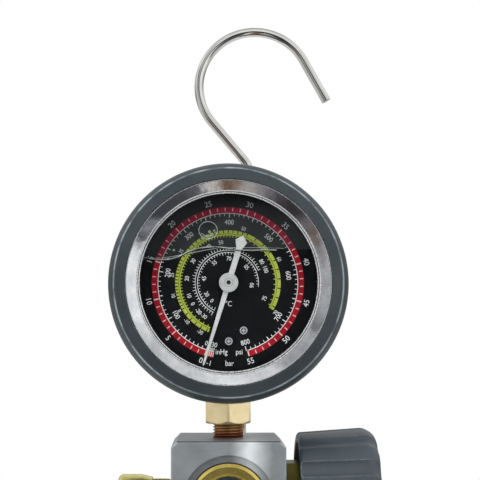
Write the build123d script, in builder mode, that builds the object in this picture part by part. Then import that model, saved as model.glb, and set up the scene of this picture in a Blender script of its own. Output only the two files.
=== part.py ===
"""Refrigerant manifold gauge: a booted, glycerine-filled pressure gauge on a one-way aluminium manifold.

Millimetres.  +X points to the valve knob, +Y to the back, +Z up.
The origin is on the axis of the lower service port, at the root of its flare cone.
"""
import os
from math import cos, pi, radians, sin, tan

from build123d import *

os.makedirs("parts", exist_ok=True)

# ---------------------------------------------------------------- clearances
seat_gap = 0.05            # between pieces screwed or pressed together
running_gap = 0.05         # radial, between a shaft and its hole
cap_thread_gap = 0.10      # radial, between the loose cap and the port
rubber_gap = 0.30          # between the rubber boot and what it wraps
cutter_margin = 1.0        # how far a cutting shape stands past what it cuts

# ---------------------------------------------------------------- manifold block
block_width = 36.6         # along X
block_depth = 38.0         # along Y
block_height = 38.4        # along Z
block_corner = 2.0         # chamfer along the four edges that run front to back
block_edge_break = 0.4     # light chamfer round the front and back faces
passage_radius = 2.4       # drilled gas passages

# ---------------------------------------------------------------- flare ports (1/4 in SAE, 7/16-20 UNF)
port_thread_radius = 5.55
port_tip_radius = 2.9      # small end of the 45 degree flare cone
port_thread_length = 10.0
port_neck_radius = 4.7
port_neck_length = 1.5
port_hex_across = 14.0
port_hex_length = 4.5
shank_radius = 4.85        # the taper-threaded end inside the block
shank_length = 9.0
side_thread_length = 13.2  # the side port has no hexagon: its thread runs up to the block

# ---------------------------------------------------------------- side port cap
cap_radius = 7.0
cap_mouth_radius = 6.1
cap_length = 11.3
cap_slope_length = 3.7     # the long shoulder towards the block
cap_nose_round = 1.8
cap_end_wall = 1.2
cap_seal_thickness = 0.8

# ---------------------------------------------------------------- sight glass
sight_face_radius = 14.8   # machined spot face in the block
sight_face_depth = 0.8
sight_pocket_radius = 12.5
sight_pocket_depth = 3.0
sight_ring_radius = 12.2
sight_ring_stand = 1.2     # how far the ring stands out of the block
sight_ring_bevel = 0.9
sight_thread_radius = 11.2
sight_thread_depth = 6.0
sight_opening_radius = 8.3
sight_opening_flare = 0.7
sight_lip_thickness = 2.4
sight_glass_radius = 10.0
sight_glass_thickness = 3.0
sight_chamber_radius = 8.2
sight_chamber_depth = 12.0
sight_well_radius = 4.0
sight_well_depth = 20.0

# ---------------------------------------------------------------- shut-off valve
valve_seat_x = 7.5         # the seat face, from the block's centre
valve_chamber_radius = 6.0
valve_disc_radius = 4.6
valve_disc_thickness = 3.0
valve_disc_bevel = 1.0
valve_disc_socket = 1.6    # depth of the swivel socket in the disc
stem_nib_radius = 1.5
stem_radius = 3.0
bonnet_thread_radius = 9.0
bonnet_thread_length = 5.3
bonnet_hex_across = 22.0
bonnet_hex_length = 7.0
bonnet_neck_radius = 7.0
bonnet_neck_length = 5.0
bonnet_hex_chamfer = 0.8
packing_radius = 4.8
packing_length = 2.4

# ---------------------------------------------------------------- knob
knob_gap = 4.6             # from the block to the knob's skirt
knob_length = 26.1
knob_skirt_radius = 20.6
knob_flare = 1.8           # how much wider the outer end is than the skirt
knob_shoulder = 5.0
knob_skirt_round = 1.2
knob_wall = 2.6
knob_end_wall = 4.5
knob_hub_radius = 6.5
knob_hub_setback = 9.3     # from the skirt's edge to the hub's end
knob_dish_radius = 8.0
knob_dish_depth = 1.6
flute_count = 12
flute_radius = 5.5
flute_depth = 0.9
rib_count = 6
rib_thickness = 1.4
rib_setback = 12.3         # from the skirt's edge to the ribs
knob_screw_radius = 1.6
knob_screw_length = 9.0
knob_screw_head_radius = 3.4
knob_screw_head_height = 1.3
hex_key_across = 2.5
hex_key_depth = 0.9

# ---------------------------------------------------------------- bezel, rolled from sheet
bezel_radius = 34.0        # the gauge's nominal 68 mm size
bezel_sheet = 0.8
bezel_skirt_gap = 0.2      # between the skirt and the case
bezel_skirt_length = 7.0
bezel_crown_round = 1.0    # outside radius of the rolled edge
bezel_crown_height = 2.0   # in front of the lens
bezel_slope_angle = 21.0   # the broad face, falling from the crown to the lens
bezel_lens_overlap = 3.9   # how far the bezel covers the lens

# ---------------------------------------------------------------- gauge case, front to back along Y
case_wall = 0.8
case_back = 10.0           # outside of the back wall
case_back_wall = 1.0
case_rim = -13.6           # front edge of the case
gasket_thickness = 1.0
gasket_width = 2.5
lens_edge_gap = 0.4
lens_thickness = 2.0
plug_radius = 5.0
plug_head_radius = 7.0
plug_head_height = 1.6
plug_inset = 15.0          # from the case's edge to the plug's centre

# ---------------------------------------------------------------- rubber boot
boot_wall = 4.9
boot_lip_overlap = 0.7     # how far the front lip laps the bezel
boot_front = -19.4
boot_ridge_inset = 2.2
boot_ridge_drop = 1.0
boot_edge_drop = 6.0
boot_back = 13.5
boot_back_round = 4.0
boot_back_overlap = 7.0    # how far the boot covers the case's back
boot_stem_gap = 0.5

# ---------------------------------------------------------------- gauge stem
stem_thread_gap = 4.5      # bare thread between the block and the hexagon
stem_shank_depth = 10.0
socket_hex_across = 14.8
socket_hex_reveal = 6.9    # hexagon showing below the boot
socket_hex_top_gap = 1.1   # between the hexagon and the bezel's skirt
socket_hex_chamfer = 1.0
socket_neck_radius = 6.0
socket_bore_radius = 1.5
tang_width = 14.0
tang_thickness = 7.0
tang_length = 12.0
tang_case_gap = 3.2        # between the foot of the tang and the case's wall

# ---------------------------------------------------------------- dial and pointer
dial_front = -11.0
dial_thickness = 0.5
dial_edge_gap = 0.8
dial_hole_radius = 2.0
dial_screw_radius = 0.6
dial_screw_head_radius = 1.25
dial_screw_head_height = 0.5
dial_screw_places = [(4.9, -15.5), (0.1, -19.0)]
pointer_zero_angle = 17.0  # clockwise from straight down, at zero pressure
pointer_plane = -13.4      # front of the blade
pointer_thickness = 0.4
pointer_tip_gap = 0.5      # from the pointer's tip to the bezel's window
pointer_root_width = 1.8
pointer_tip_width = 0.7
pointer_tail_length = 16.0
pointer_tail_width = 1.8
pointer_paddle_width = 4.0
pointer_paddle_length = 4.5
pointer_paddle_point = 1.9 # the arrow at the end of the paddle
hub_radius = 3.1
hub_front_step = 0.5
hub_length = 1.6

# ---------------------------------------------------------------- movement
plate_thickness = 1.2
back_plate_back = 0.2      # where the back plate meets the tang
plate_spacing = 6.8        # clear height between the two plates
plate_margin = 3.0         # metal round a pivot hole
plate_step = 1.0           # how far the plates step past the tang and the pillars
plate_corner = 0.8
dial_boss_wall = 0.4       # round each dial screw, between the plate and the dial
pillar_radius = 1.3
pillar_places = [(-5.5, 5.0), (-5.5, -15.0), (17.5, -7.5)]
plate_screw_radius = 1.3
plate_screw_head_radius = 2.3
plate_screw_head_height = 1.2
plate_screw_insets = [2.5, 8.0]   # from the top of the tang
pinion_teeth = 12
gear_ratio = 10
gear_module = 0.25
tooth_backlash = 0.05      # taken off each flank at the pitch circle
tooth_addendum = 0.75      # in modules
tooth_dedendum = 1.35      # in modules
flank_angle = 20.0
sector_swing = 32.6        # from zero pressure to full scale, degrees
sector_under_swing = 0.6   # the other way, to full vacuum
pinion_face = 3.0
sector_face = 1.4
sector_spare_teeth = 2
sector_rim = 1.6
sector_arm_width = 3.0
sector_hub_radius = 2.2
sector_tail_length = 6.0
sector_tail_angle = -19.0
sector_tail_width = 2.6
arbor_radius = 0.7
link_pin_radius = 0.5
link_eye_drop = 1.45       # from the tube's tip down to the link's upper hole
link_width = 2.4
link_thickness = 0.8
link_gap = 0.6             # between the sector and the link

# ---------------------------------------------------------------- Bourdon tube
tube_inset = 9.2           # from the case's wall to the tube's centreline
tube_height = 7.0          # flattened section, along Y
tube_width = 2.6           # flattened section, radial
tube_wall = 0.4
tube_start_angle = 251.0   # where it leaves the tang
tube_end_angle = 30.0
tip_wall = 0.9
ear_width = 3.2
ear_thickness = 0.9
ear_gap = 0.5              # between the link and the tip's ear

# ---------------------------------------------------------------- hanging hook
wire_radius = 1.65
hook_pivot_height = 40.0
hook_eye_radius = 4.4      # to the wire's centreline
hook_eye_start = 85.0
hook_lean = 1.8            # degrees from vertical
hook_shank_length = 105.5
hook_bend_radius = 8.0
hook_bend_angle = 41.8
hook_incline_length = 17.8
hook_crook_radius = 20.1
hook_crook_angle = 191.0
hook_tail_length = 16.8
washer_radius = 7.0
washer_thickness = 1.0
hook_screw_radius = 2.5
hook_screw_thread_radius = 2.0
hook_screw_thread_length = 9.0
hook_screw_head_across = 8.0
hook_screw_head_height = 3.5

# ---------------------------------------------------------------- places worked out from the sizes
port_length = port_thread_length + port_neck_length + port_hex_length
block_bottom = port_length
block_middle = block_bottom + block_height / 2
block_top = block_bottom + block_height
block_side = block_width / 2
block_front = -block_depth / 2
block_back = block_depth / 2
knob_outer_radius = knob_skirt_radius + knob_flare
case_radius = bezel_radius - bezel_sheet - bezel_skirt_gap
case_bore = case_radius - case_wall
boot_bore = bezel_radius + rubber_gap
boot_radius = boot_bore + boot_wall
gauge_height = block_top + stem_thread_gap + socket_hex_reveal + boot_radius

dial_centre = (0, 0, gauge_height)
dial_axis = Axis(dial_centre, (0, 1, 0))
dial_section = Plane(origin=dial_centre, x_dir=(1, 0, 0), z_dir=(0, 0, 1))   # local x radius, local y depth
valve_centre = (0, 0, block_middle)
valve_axis = Axis(valve_centre, (1, 0, 0))
valve_section = Plane(origin=valve_centre, x_dir=(1, 0, 0), z_dir=(0, -1, 0))  # local x along X, local y radius
sight_section = Plane(origin=valve_centre, x_dir=(1, 0, 0), z_dir=(0, 0, 1))
sight_axis = Axis(valve_centre, (0, 1, 0))

lens_radius = case_radius - lens_edge_gap
bezel_window_radius = lens_radius - bezel_lens_overlap
dial_radius = case_bore - dial_edge_gap
pointer_length = bezel_window_radius - pointer_tip_gap
tube_radius = case_bore - tube_inset
tang_bottom_drop = case_bore - tang_case_gap
tang_top_drop = tang_bottom_drop - tang_length
plate_screw_drops = [tang_top_drop + inset for inset in plate_screw_insets]
lens_back = case_rim - gasket_thickness
lens_front = lens_back - lens_thickness
dial_back = dial_front + dial_thickness
back_plate_front = back_plate_back - plate_thickness
front_plate_back = back_plate_front - plate_spacing
front_plate_front = front_plate_back - plate_thickness
pinion_pitch_radius = gear_module * pinion_teeth / 2
sector_pitch_radius = pinion_pitch_radius * gear_ratio
sector_pivot_x = pinion_pitch_radius + sector_pitch_radius
gear_middle = (back_plate_front + front_plate_back) / 2
tail_pin_x = sector_pivot_x + sector_tail_length * cos(radians(sector_tail_angle))
tail_pin_z = sector_tail_length * sin(radians(sector_tail_angle))
link_length = tube_radius * sin(radians(tube_end_angle)) - link_eye_drop - tail_pin_z
link_front = gear_middle + sector_face / 2 + link_gap
link_back = link_front + link_thickness
ear_front = link_back + ear_gap
ear_back = ear_front + ear_thickness
tube_middle = back_plate_back + tang_thickness / 2
hook_plane_y = block_back + washer_thickness + seat_gap + wire_radius


def front_plane(depth, height=gauge_height, across=0.0):
    """Plane facing the front, at a depth along Y: local x is X, local y is Z."""
    return Plane(origin=(across, depth, height), x_dir=(1, 0, 0), z_dir=(0, -1, 0))


def flare_port(section, axis, thread_length, neck_length=0, hex_across=0, hex_length=0):
    """Brass flare port.  Section's local x runs outwards from the root of the flare cone."""
    cone_length = port_thread_radius - port_tip_radius
    hex_start = -thread_length - neck_length
    shank_end = hex_start - hex_length - shank_length
    outline = [(cone_length, 0), (cone_length, port_tip_radius)]
    outline += [(0, port_thread_radius), (-thread_length, port_thread_radius)]
    if neck_length:
        outline += [(-thread_length, port_neck_radius), (hex_start, port_neck_radius)]
    outline += [(hex_start, shank_radius), (shank_end, shank_radius), (shank_end, 0)]
    with BuildPart() as port:
        with BuildSketch(section):
            with BuildLine():
                Polyline(*outline, close=True)
            make_face()
        revolve(axis=axis)
        if hex_length:
            hex_plane = Plane(origin=section.from_local_coords((hex_start, 0, 0)), z_dir=-section.x_dir)
            with BuildSketch(hex_plane):
                RegularPolygon(hex_across / 2, 6, major_radius=False)
            extrude(amount=hex_length)
        bore_plane = Plane(origin=section.from_local_coords((cone_length, 0, 0)), z_dir=section.x_dir)
        with Locations(bore_plane):
            Hole(passage_radius)
    return port


# ================================================================ manifold
with BuildPart() as manifold_block:
    with Locations(valve_centre):
        Box(block_width, block_depth, block_height)
    chamfer(manifold_block.edges().filter_by(Axis.Y), block_corner)
    face_edges = manifold_block.faces().filter_by(Axis.Y).edges()
    chamfer(face_edges, block_edge_break)
    with Locations((0, 0, block_top)):
        Hole(shank_radius + seat_gap, stem_shank_depth + seat_gap)
        Hole(passage_radius, block_height)
    with Locations(Plane(origin=(0, 0, block_bottom), z_dir=(0, 0, -1))):
        Hole(shank_radius + seat_gap, shank_length + seat_gap)
    with Locations(Plane(origin=(-block_side, 0, block_middle), z_dir=(-1, 0, 0))):
        Hole(shank_radius + seat_gap, shank_length + seat_gap)
        Hole(passage_radius, block_side)
    with Locations(Plane(origin=(block_side, 0, block_middle), z_dir=(1, 0, 0))):
        Hole(bonnet_thread_radius + seat_gap, bonnet_thread_length + seat_gap)
        Hole(valve_chamber_radius, block_side - valve_seat_x)
        Hole(passage_radius, block_side)
    with Locations(front_plane(block_front, block_middle)):
        Hole(sight_face_radius, sight_face_depth)
        Hole(sight_pocket_radius, sight_pocket_depth)
        Hole(sight_thread_radius + seat_gap, sight_thread_depth)
        Hole(sight_chamber_radius, sight_chamber_depth)
        Hole(sight_well_radius, sight_well_depth)
    with Locations(Plane(origin=(0, block_back, hook_pivot_height), z_dir=(0, 1, 0))):
        Hole(hook_screw_thread_radius + seat_gap, hook_screw_thread_length + seat_gap)

# ---------------------------------------------------------------- service ports and the side cap
lower_section = Plane(origin=(0, 0, 0), x_dir=(0, 0, -1), z_dir=(0, -1, 0))
service_port = flare_port(
    lower_section, Axis.Z, port_thread_length, port_neck_length, port_hex_across, port_hex_length
)

side_cone_x = -block_side - side_thread_length
side_section = Plane(origin=(side_cone_x, 0, block_middle), x_dir=(-1, 0, 0), z_dir=(0, 1, 0))
side_port = flare_port(side_section, valve_axis, side_thread_length)

seal_inner_x = side_cone_x - (port_thread_radius - port_tip_radius) - seat_gap
seal_outer_x = seal_inner_x - cap_seal_thickness
cap_outer_x = seal_outer_x - cap_end_wall
cap_inner_x = cap_outer_x + cap_length
cap_bore_radius = port_thread_radius + cap_thread_gap

nose_start = (cap_outer_x, cap_radius - cap_nose_round)
nose_end = (cap_outer_x + cap_nose_round, cap_radius)
with BuildPart() as side_cap:
    with BuildSketch(valve_section):
        with BuildLine():
            Line((cap_outer_x, 0), nose_start)
            TangentArc(nose_start, nose_end, tangent=(0, 1))
            Polyline(
                nose_end,
                (cap_inner_x - cap_slope_length, cap_radius),
                (cap_inner_x, cap_mouth_radius),
                (cap_inner_x, cap_bore_radius),
                (seal_outer_x, cap_bore_radius),
                (seal_outer_x, 0),
                (cap_outer_x, 0),
            )
        make_face()
    revolve(axis=valve_axis)

with BuildPart() as side_cap_seal:
    with BuildSketch(Plane(origin=(seal_inner_x, 0, block_middle), z_dir=(-1, 0, 0))):
        Circle(port_thread_radius)
    extrude(amount=cap_seal_thickness - seat_gap)

# ---------------------------------------------------------------- sight glass
ring_front = block_front - sight_ring_stand
ring_shoulder = block_front + sight_pocket_depth - seat_gap
ring_back = block_front + sight_thread_depth - seat_gap
glass_front = ring_front + sight_lip_thickness + seat_gap
glass_back = glass_front + sight_glass_thickness

with BuildPart() as sight_ring:
    with BuildSketch(sight_section):
        with BuildLine():
            Polyline(
                (sight_opening_radius + sight_opening_flare, ring_front),
                (sight_ring_radius - sight_ring_bevel, ring_front),
                (sight_ring_radius, ring_front + sight_ring_bevel),
                (sight_ring_radius, ring_shoulder),
                (sight_thread_radius, ring_shoulder),
                (sight_thread_radius, ring_back),
                (sight_glass_radius + seat_gap, ring_back),
                (sight_glass_radius + seat_gap, ring_front + sight_lip_thickness),
                (sight_opening_radius, ring_front + sight_lip_thickness),
                (sight_opening_radius, ring_front + sight_opening_flare),
                close=True,
            )
        make_face()
    revolve(axis=sight_axis)

with BuildPart() as sight_glass:
    with BuildSketch(front_plane(glass_back, block_middle)):
        Circle(sight_glass_radius)
    extrude(amount=sight_glass_thickness)

with BuildPart() as sight_gasket:
    with BuildSketch(front_plane(ring_back, block_middle)):
        Circle(sight_glass_radius)
        Circle(sight_chamber_radius, mode=Mode.SUBTRACT)
    extrude(amount=ring_back - glass_back)

# ================================================================ shut-off valve
disc_inner_x = valve_seat_x + seat_gap
disc_outer_x = disc_inner_x + valve_disc_thickness
bonnet_inner_x = block_side - bonnet_thread_length
bonnet_hex_end_x = block_side + bonnet_hex_length
bonnet_outer_x = bonnet_hex_end_x + bonnet_neck_length
packing_outer_x = bonnet_outer_x
packing_inner_x = packing_outer_x - packing_length
knob_inner_x = block_side + knob_gap
knob_outer_x = knob_inner_x + knob_length
knob_cavity_x = knob_outer_x - knob_end_wall
knob_dish_x = knob_outer_x - knob_dish_depth
stem_shoulder_x = disc_outer_x
stem_outer_x = knob_dish_x

with BuildPart() as valve_disc:
    with BuildSketch(valve_section):
        with BuildLine():
            Polyline(
                (disc_inner_x, 0),
                (disc_inner_x, valve_disc_radius - valve_disc_bevel),
                (disc_inner_x + valve_disc_bevel, valve_disc_radius),
                (disc_outer_x - seat_gap, valve_disc_radius),
                (disc_outer_x - seat_gap, stem_nib_radius + running_gap),
                (disc_outer_x - valve_disc_socket, stem_nib_radius + running_gap),
                (disc_outer_x - valve_disc_socket, 0),
                close=True,
            )
        make_face()
    revolve(axis=valve_axis)

with BuildPart() as valve_stem:
    with BuildSketch(valve_section):
        with BuildLine():
            Polyline(
                (disc_outer_x - valve_disc_socket + seat_gap, 0),
                (disc_outer_x - valve_disc_socket + seat_gap, stem_nib_radius),
                (stem_shoulder_x, stem_nib_radius),
                (stem_shoulder_x, stem_radius),
                (stem_outer_x, stem_radius),
                (stem_outer_x, 0),
                close=True,
            )
        make_face()
    revolve(axis=valve_axis)
    with Locations(Plane(origin=(stem_outer_x, 0, block_middle), z_dir=(1, 0, 0))):
        Hole(knob_screw_radius + seat_gap, knob_screw_length + seat_gap)

with BuildPart() as valve_bonnet:
    with BuildSketch(valve_section):
        with BuildLine():
            Polyline(
                (bonnet_inner_x, 0),
                (bonnet_inner_x, bonnet_thread_radius),
                (block_side, bonnet_thread_radius),
                (block_side, bonnet_neck_radius),
                (bonnet_outer_x, bonnet_neck_radius),
                (bonnet_outer_x, 0),
                close=True,
            )
        make_face()
    revolve(axis=valve_axis)
    hex_plane = Plane(origin=(block_side, 0, block_middle), x_dir=(0, 1, 0), z_dir=(1, 0, 0))
    with BuildSketch(hex_plane):
        RegularPolygon(bonnet_hex_across / 2, 6, major_radius=False)
    extrude(amount=bonnet_hex_length)
    corner_radius = bonnet_hex_across / 2 / cos(pi / 6)
    with BuildSketch(valve_section):
        with BuildLine():
            Polyline(
                (bonnet_hex_end_x + cutter_margin, corner_radius - bonnet_hex_chamfer - cutter_margin),
                (bonnet_hex_end_x + cutter_margin, corner_radius + cutter_margin),
                (bonnet_hex_end_x - bonnet_hex_chamfer - cutter_margin, corner_radius + cutter_margin),
                close=True,
            )
        make_face()
    revolve(axis=valve_axis, mode=Mode.SUBTRACT)
    with Locations(Plane(origin=(bonnet_outer_x, 0, block_middle), z_dir=(1, 0, 0))):
        Hole(stem_radius + running_gap)
        Hole(packing_radius, packing_length)

with BuildPart() as valve_packing:
    with BuildSketch(Plane(origin=(packing_inner_x + seat_gap, 0, block_middle), z_dir=(1, 0, 0))):
        Circle(packing_radius - seat_gap)
        Circle(stem_radius + running_gap, mode=Mode.SUBTRACT)
    extrude(amount=packing_length - seat_gap)

# ---------------------------------------------------------------- knob
knob_taper = knob_flare / knob_length

skirt_edge = (knob_inner_x, knob_skirt_radius - knob_skirt_round)
skirt_top = (knob_inner_x + knob_skirt_round, knob_skirt_radius + knob_skirt_round * knob_taper)
with BuildPart() as valve_knob:
    with BuildSketch(valve_section):
        with BuildLine():
            TangentArc(skirt_edge, skirt_top, tangent=(0, 1))
            Polyline(
                skirt_top,
                (knob_outer_x, knob_outer_radius),
                (knob_outer_x, 0),
                (knob_inner_x, 0),
                skirt_edge,
            )
        make_face()
    revolve(axis=valve_axis)
    flute_reach = flute_radius - flute_depth
    for flute in range(flute_count):
        turn = radians(360 / flute_count * flute)
        outward = Vector(0, -sin(turn), cos(turn))
        foot = Vector(knob_inner_x, 0, block_middle) + outward * (knob_skirt_radius + flute_reach)
        along = Vector(1, 0, 0) + outward * knob_taper
        with BuildSketch(Plane(origin=foot - along, z_dir=along)):
            Circle(flute_radius)
        extrude(amount=knob_length + knob_outer_radius, mode=Mode.SUBTRACT)
    shoulder_edges = valve_knob.faces().sort_by(Axis.X)[-1].edges()
    fillet(shoulder_edges, knob_shoulder)
    with BuildSketch(valve_section):
        with BuildLine():
            Polyline(
                (knob_inner_x, knob_hub_radius),
                (knob_inner_x, knob_skirt_radius - knob_wall),
                (knob_cavity_x, knob_outer_radius - knob_wall - knob_shoulder / 2),
                (knob_cavity_x, knob_hub_radius),
                close=True,
            )
        make_face()
    revolve(axis=valve_axis, mode=Mode.SUBTRACT)
    with BuildSketch(Plane(origin=(knob_inner_x, 0, block_middle), z_dir=(1, 0, 0))):
        Circle(knob_hub_radius + rib_thickness / 2)
    extrude(amount=knob_hub_setback, mode=Mode.SUBTRACT)
    rib_inner = knob_hub_radius - rib_thickness / 2
    rib_outer = knob_skirt_radius - knob_wall + rib_thickness / 2
    with BuildSketch(Plane(origin=(knob_cavity_x, 0, block_middle), z_dir=(-1, 0, 0))):
        with PolarLocations((rib_inner + rib_outer) / 2, rib_count):
            Rectangle(rib_outer - rib_inner, rib_thickness)
    extrude(amount=knob_cavity_x - knob_inner_x - rib_setback)
    with Locations(Plane(origin=(knob_outer_x, 0, block_middle), z_dir=(1, 0, 0))):
        Hole(knob_dish_radius, knob_dish_depth)
        Hole(stem_radius + seat_gap)

head_inner_x = knob_dish_x + seat_gap
with BuildPart() as knob_screw:
    with BuildSketch(Plane(origin=(head_inner_x, 0, block_middle), z_dir=(1, 0, 0))):
        Circle(knob_screw_head_radius)
    extrude(amount=knob_screw_head_height)
    with BuildSketch(Plane(origin=(head_inner_x, 0, block_middle), z_dir=(-1, 0, 0))):
        Circle(knob_screw_radius)
    extrude(amount=knob_screw_length)
    with BuildSketch(Plane(origin=(head_inner_x + knob_screw_head_height, 0, block_middle), z_dir=(-1, 0, 0))):
        RegularPolygon(hex_key_across / 2, 6, major_radius=False)
    extrude(amount=hex_key_depth, mode=Mode.SUBTRACT)

# ================================================================ gauge housing
hex_bottom = block_top + stem_thread_gap
hex_top = gauge_height - bezel_radius - socket_hex_top_gap
tang_top = gauge_height - tang_top_drop
tang_bottom = gauge_height - tang_bottom_drop

with BuildPart() as gauge_socket:
    with BuildSketch(Plane.XY.offset(hex_bottom)):
        RegularPolygon(socket_hex_across / 2, 6, major_radius=False, rotation=30)
    extrude(amount=hex_top - hex_bottom)
    socket_corner = socket_hex_across / 2 / cos(pi / 6)
    with BuildSketch(Plane.XZ):
        with BuildLine():
            Polyline(
                (socket_corner - socket_hex_chamfer * 2, hex_bottom - cutter_margin),
                (socket_corner + cutter_margin, hex_bottom - cutter_margin),
                (socket_corner + cutter_margin, hex_bottom + socket_hex_chamfer),
                (socket_corner, hex_bottom + socket_hex_chamfer),
                (socket_corner - socket_hex_chamfer * 2, hex_bottom),
                close=True,
            )
        make_face()
    revolve(axis=Axis.Z, mode=Mode.SUBTRACT)
    with BuildSketch(Plane.XY.offset(block_top - stem_shank_depth)):
        Circle(shank_radius)
    extrude(amount=hex_bottom - block_top + stem_shank_depth)
    with BuildSketch(Plane.XY.offset(hex_top)):
        Circle(socket_neck_radius)
    extrude(amount=tang_bottom - hex_top + cutter_margin)
    with BuildSketch(Plane.XY.offset(tang_bottom)):
        with Locations((0, tube_middle)):
            Rectangle(tang_width, tang_thickness)
    extrude(amount=tang_top - tang_bottom)
    with Locations(Plane(origin=(0, 0, block_top - stem_shank_depth), z_dir=(0, 0, -1))):
        Hole(socket_bore_radius, tang_bottom - block_top + stem_shank_depth)
    with Locations(front_plane(back_plate_back, gauge_height)):
        with Locations([(0, -drop) for drop in plate_screw_drops]):
            Hole(plate_screw_radius + seat_gap, tang_thickness / 2)

plug_rise = case_radius - plug_inset
with BuildPart() as gauge_case:
    with BuildSketch(dial_section):
        with BuildLine():
            Polyline(
                (0, case_back),
                (case_radius, case_back),
                (case_radius, case_rim),
                (case_radius - case_wall, case_rim),
                (case_radius - case_wall, case_back - case_back_wall),
                (0, case_back - case_back_wall),
                close=True,
            )
        make_face()
    revolve(axis=dial_axis)
    with BuildSketch(Plane(origin=dial_centre, z_dir=(0, 0, -1))):
        Circle(socket_neck_radius + seat_gap)
    extrude(amount=case_radius * 2, mode=Mode.SUBTRACT)
    with Locations(front_plane(case_back, gauge_height + plug_rise)):
        Hole(plug_radius + seat_gap, case_back_wall * 2)

with BuildPart() as fill_plug:
    with BuildSketch(front_plane(case_back + plug_head_height, gauge_height + plug_rise)):
        Circle(plug_head_radius)
    extrude(amount=plug_head_height)
    with BuildSketch(front_plane(case_back, gauge_height + plug_rise)):
        Circle(plug_radius)
    extrude(amount=case_back_wall)
    fillet(fill_plug.edges().sort_by(Axis.Y)[-1], plug_head_height / 2)

with BuildPart() as lens_gasket:
    with BuildSketch(front_plane(case_rim)):
        Circle(case_radius)
        Circle(case_radius - gasket_width, mode=Mode.SUBTRACT)
    extrude(amount=gasket_thickness)

with BuildPart() as gauge_lens:
    with BuildSketch(front_plane(lens_back)):
        Circle(lens_radius)
    extrude(amount=lens_thickness)

bezel_crown_y = lens_front - bezel_crown_height
bezel_skirt_y = case_rim + bezel_skirt_length
bezel_corner_y = bezel_crown_y + bezel_crown_round
bezel_corner_radius = bezel_radius - bezel_crown_round
bezel_lip_y = lens_front - bezel_sheet
bezel_turn = radians(bezel_slope_angle)


def bezel_edge(round_radius, face_y):
    """Start, middle and end of a rolled edge, and where the slope from it meets a face of the lip."""
    points = []
    for turn in (0, (pi / 2 + bezel_turn) / 2, pi / 2 + bezel_turn):
        across = bezel_corner_radius + round_radius * cos(turn)
        points.append((across, bezel_corner_y - round_radius * sin(turn)))
    fall = face_y - points[2][1]
    return *points, (points[2][0] - fall / tan(bezel_turn), face_y)


outer_start, outer_middle, outer_end, outer_foot = bezel_edge(bezel_crown_round, bezel_lip_y)
inner_start, inner_middle, inner_end, inner_foot = bezel_edge(bezel_crown_round - bezel_sheet, lens_front - seat_gap)
with BuildPart() as gauge_bezel:
    with BuildSketch(dial_section):
        with BuildLine():
            ThreePointArc(outer_start, outer_middle, outer_end)
            Polyline(
                outer_end,
                outer_foot,
                (bezel_window_radius, bezel_lip_y),
                (bezel_window_radius, lens_front - seat_gap),
                inner_foot,
                inner_end,
            )
            ThreePointArc(inner_end, inner_middle, inner_start)
            Polyline(
                inner_start,
                (bezel_radius - bezel_sheet, bezel_skirt_y),
                (bezel_radius, bezel_skirt_y),
                outer_start,
            )
        make_face()
    revolve(axis=dial_axis)

boot_lip_radius = bezel_radius - boot_lip_overlap
boot_ridge_radius = boot_radius - boot_ridge_inset
boot_window_radius = case_radius - boot_back_overlap
boot_ridge_y = boot_front + boot_ridge_drop
boot_edge_y = boot_ridge_y + boot_edge_drop
boot_inner_back = case_back + rubber_gap
with BuildPart() as gauge_boot:
    with BuildSketch(dial_section):
        with BuildLine():
            Line((boot_lip_radius, boot_front), (boot_ridge_radius, boot_ridge_y))
            TangentArc((boot_radius, boot_edge_y), (boot_ridge_radius, boot_ridge_y), tangent=(0, -1))
            Line((boot_radius, boot_edge_y), (boot_radius, boot_back - boot_back_round))
            RadiusArc(
                (boot_radius, boot_back - boot_back_round),
                (boot_radius - boot_back_round, boot_back),
                -boot_back_round,
            )
            Polyline(
                (boot_radius - boot_back_round, boot_back),
                (boot_window_radius, boot_back),
                (boot_window_radius, boot_inner_back),
                (boot_bore, boot_inner_back),
                (boot_bore, bezel_corner_y - rubber_gap),
                (boot_lip_radius, bezel_crown_y - rubber_gap / 2),
                (boot_lip_radius, boot_front),
            )
        make_face()
    revolve(axis=dial_axis)
    with BuildSketch(Plane(origin=dial_centre, z_dir=(0, 0, -1))):
        Circle(socket_hex_across / 2 / cos(pi / 6) + boot_stem_gap)
    extrude(amount=boot_radius * 2, mode=Mode.SUBTRACT)

# ---------------------------------------------------------------- dial and pointer
with BuildPart() as gauge_dial:
    with BuildSketch(front_plane(dial_back)):
        Circle(dial_radius)
        Circle(dial_hole_radius, mode=Mode.SUBTRACT)
        with Locations(dial_screw_places):
            Circle(dial_screw_radius + seat_gap, mode=Mode.SUBTRACT)
    extrude(amount=dial_thickness)

with BuildPart() as dial_screws:
    with BuildSketch(front_plane(dial_front)):
        with Locations(dial_screw_places):
            Circle(dial_screw_head_radius)
    extrude(amount=dial_screw_head_height)
    with BuildSketch(front_plane(front_plate_front)):
        with Locations(dial_screw_places):
            Circle(dial_screw_radius)
    extrude(amount=front_plate_front - dial_front)

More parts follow.
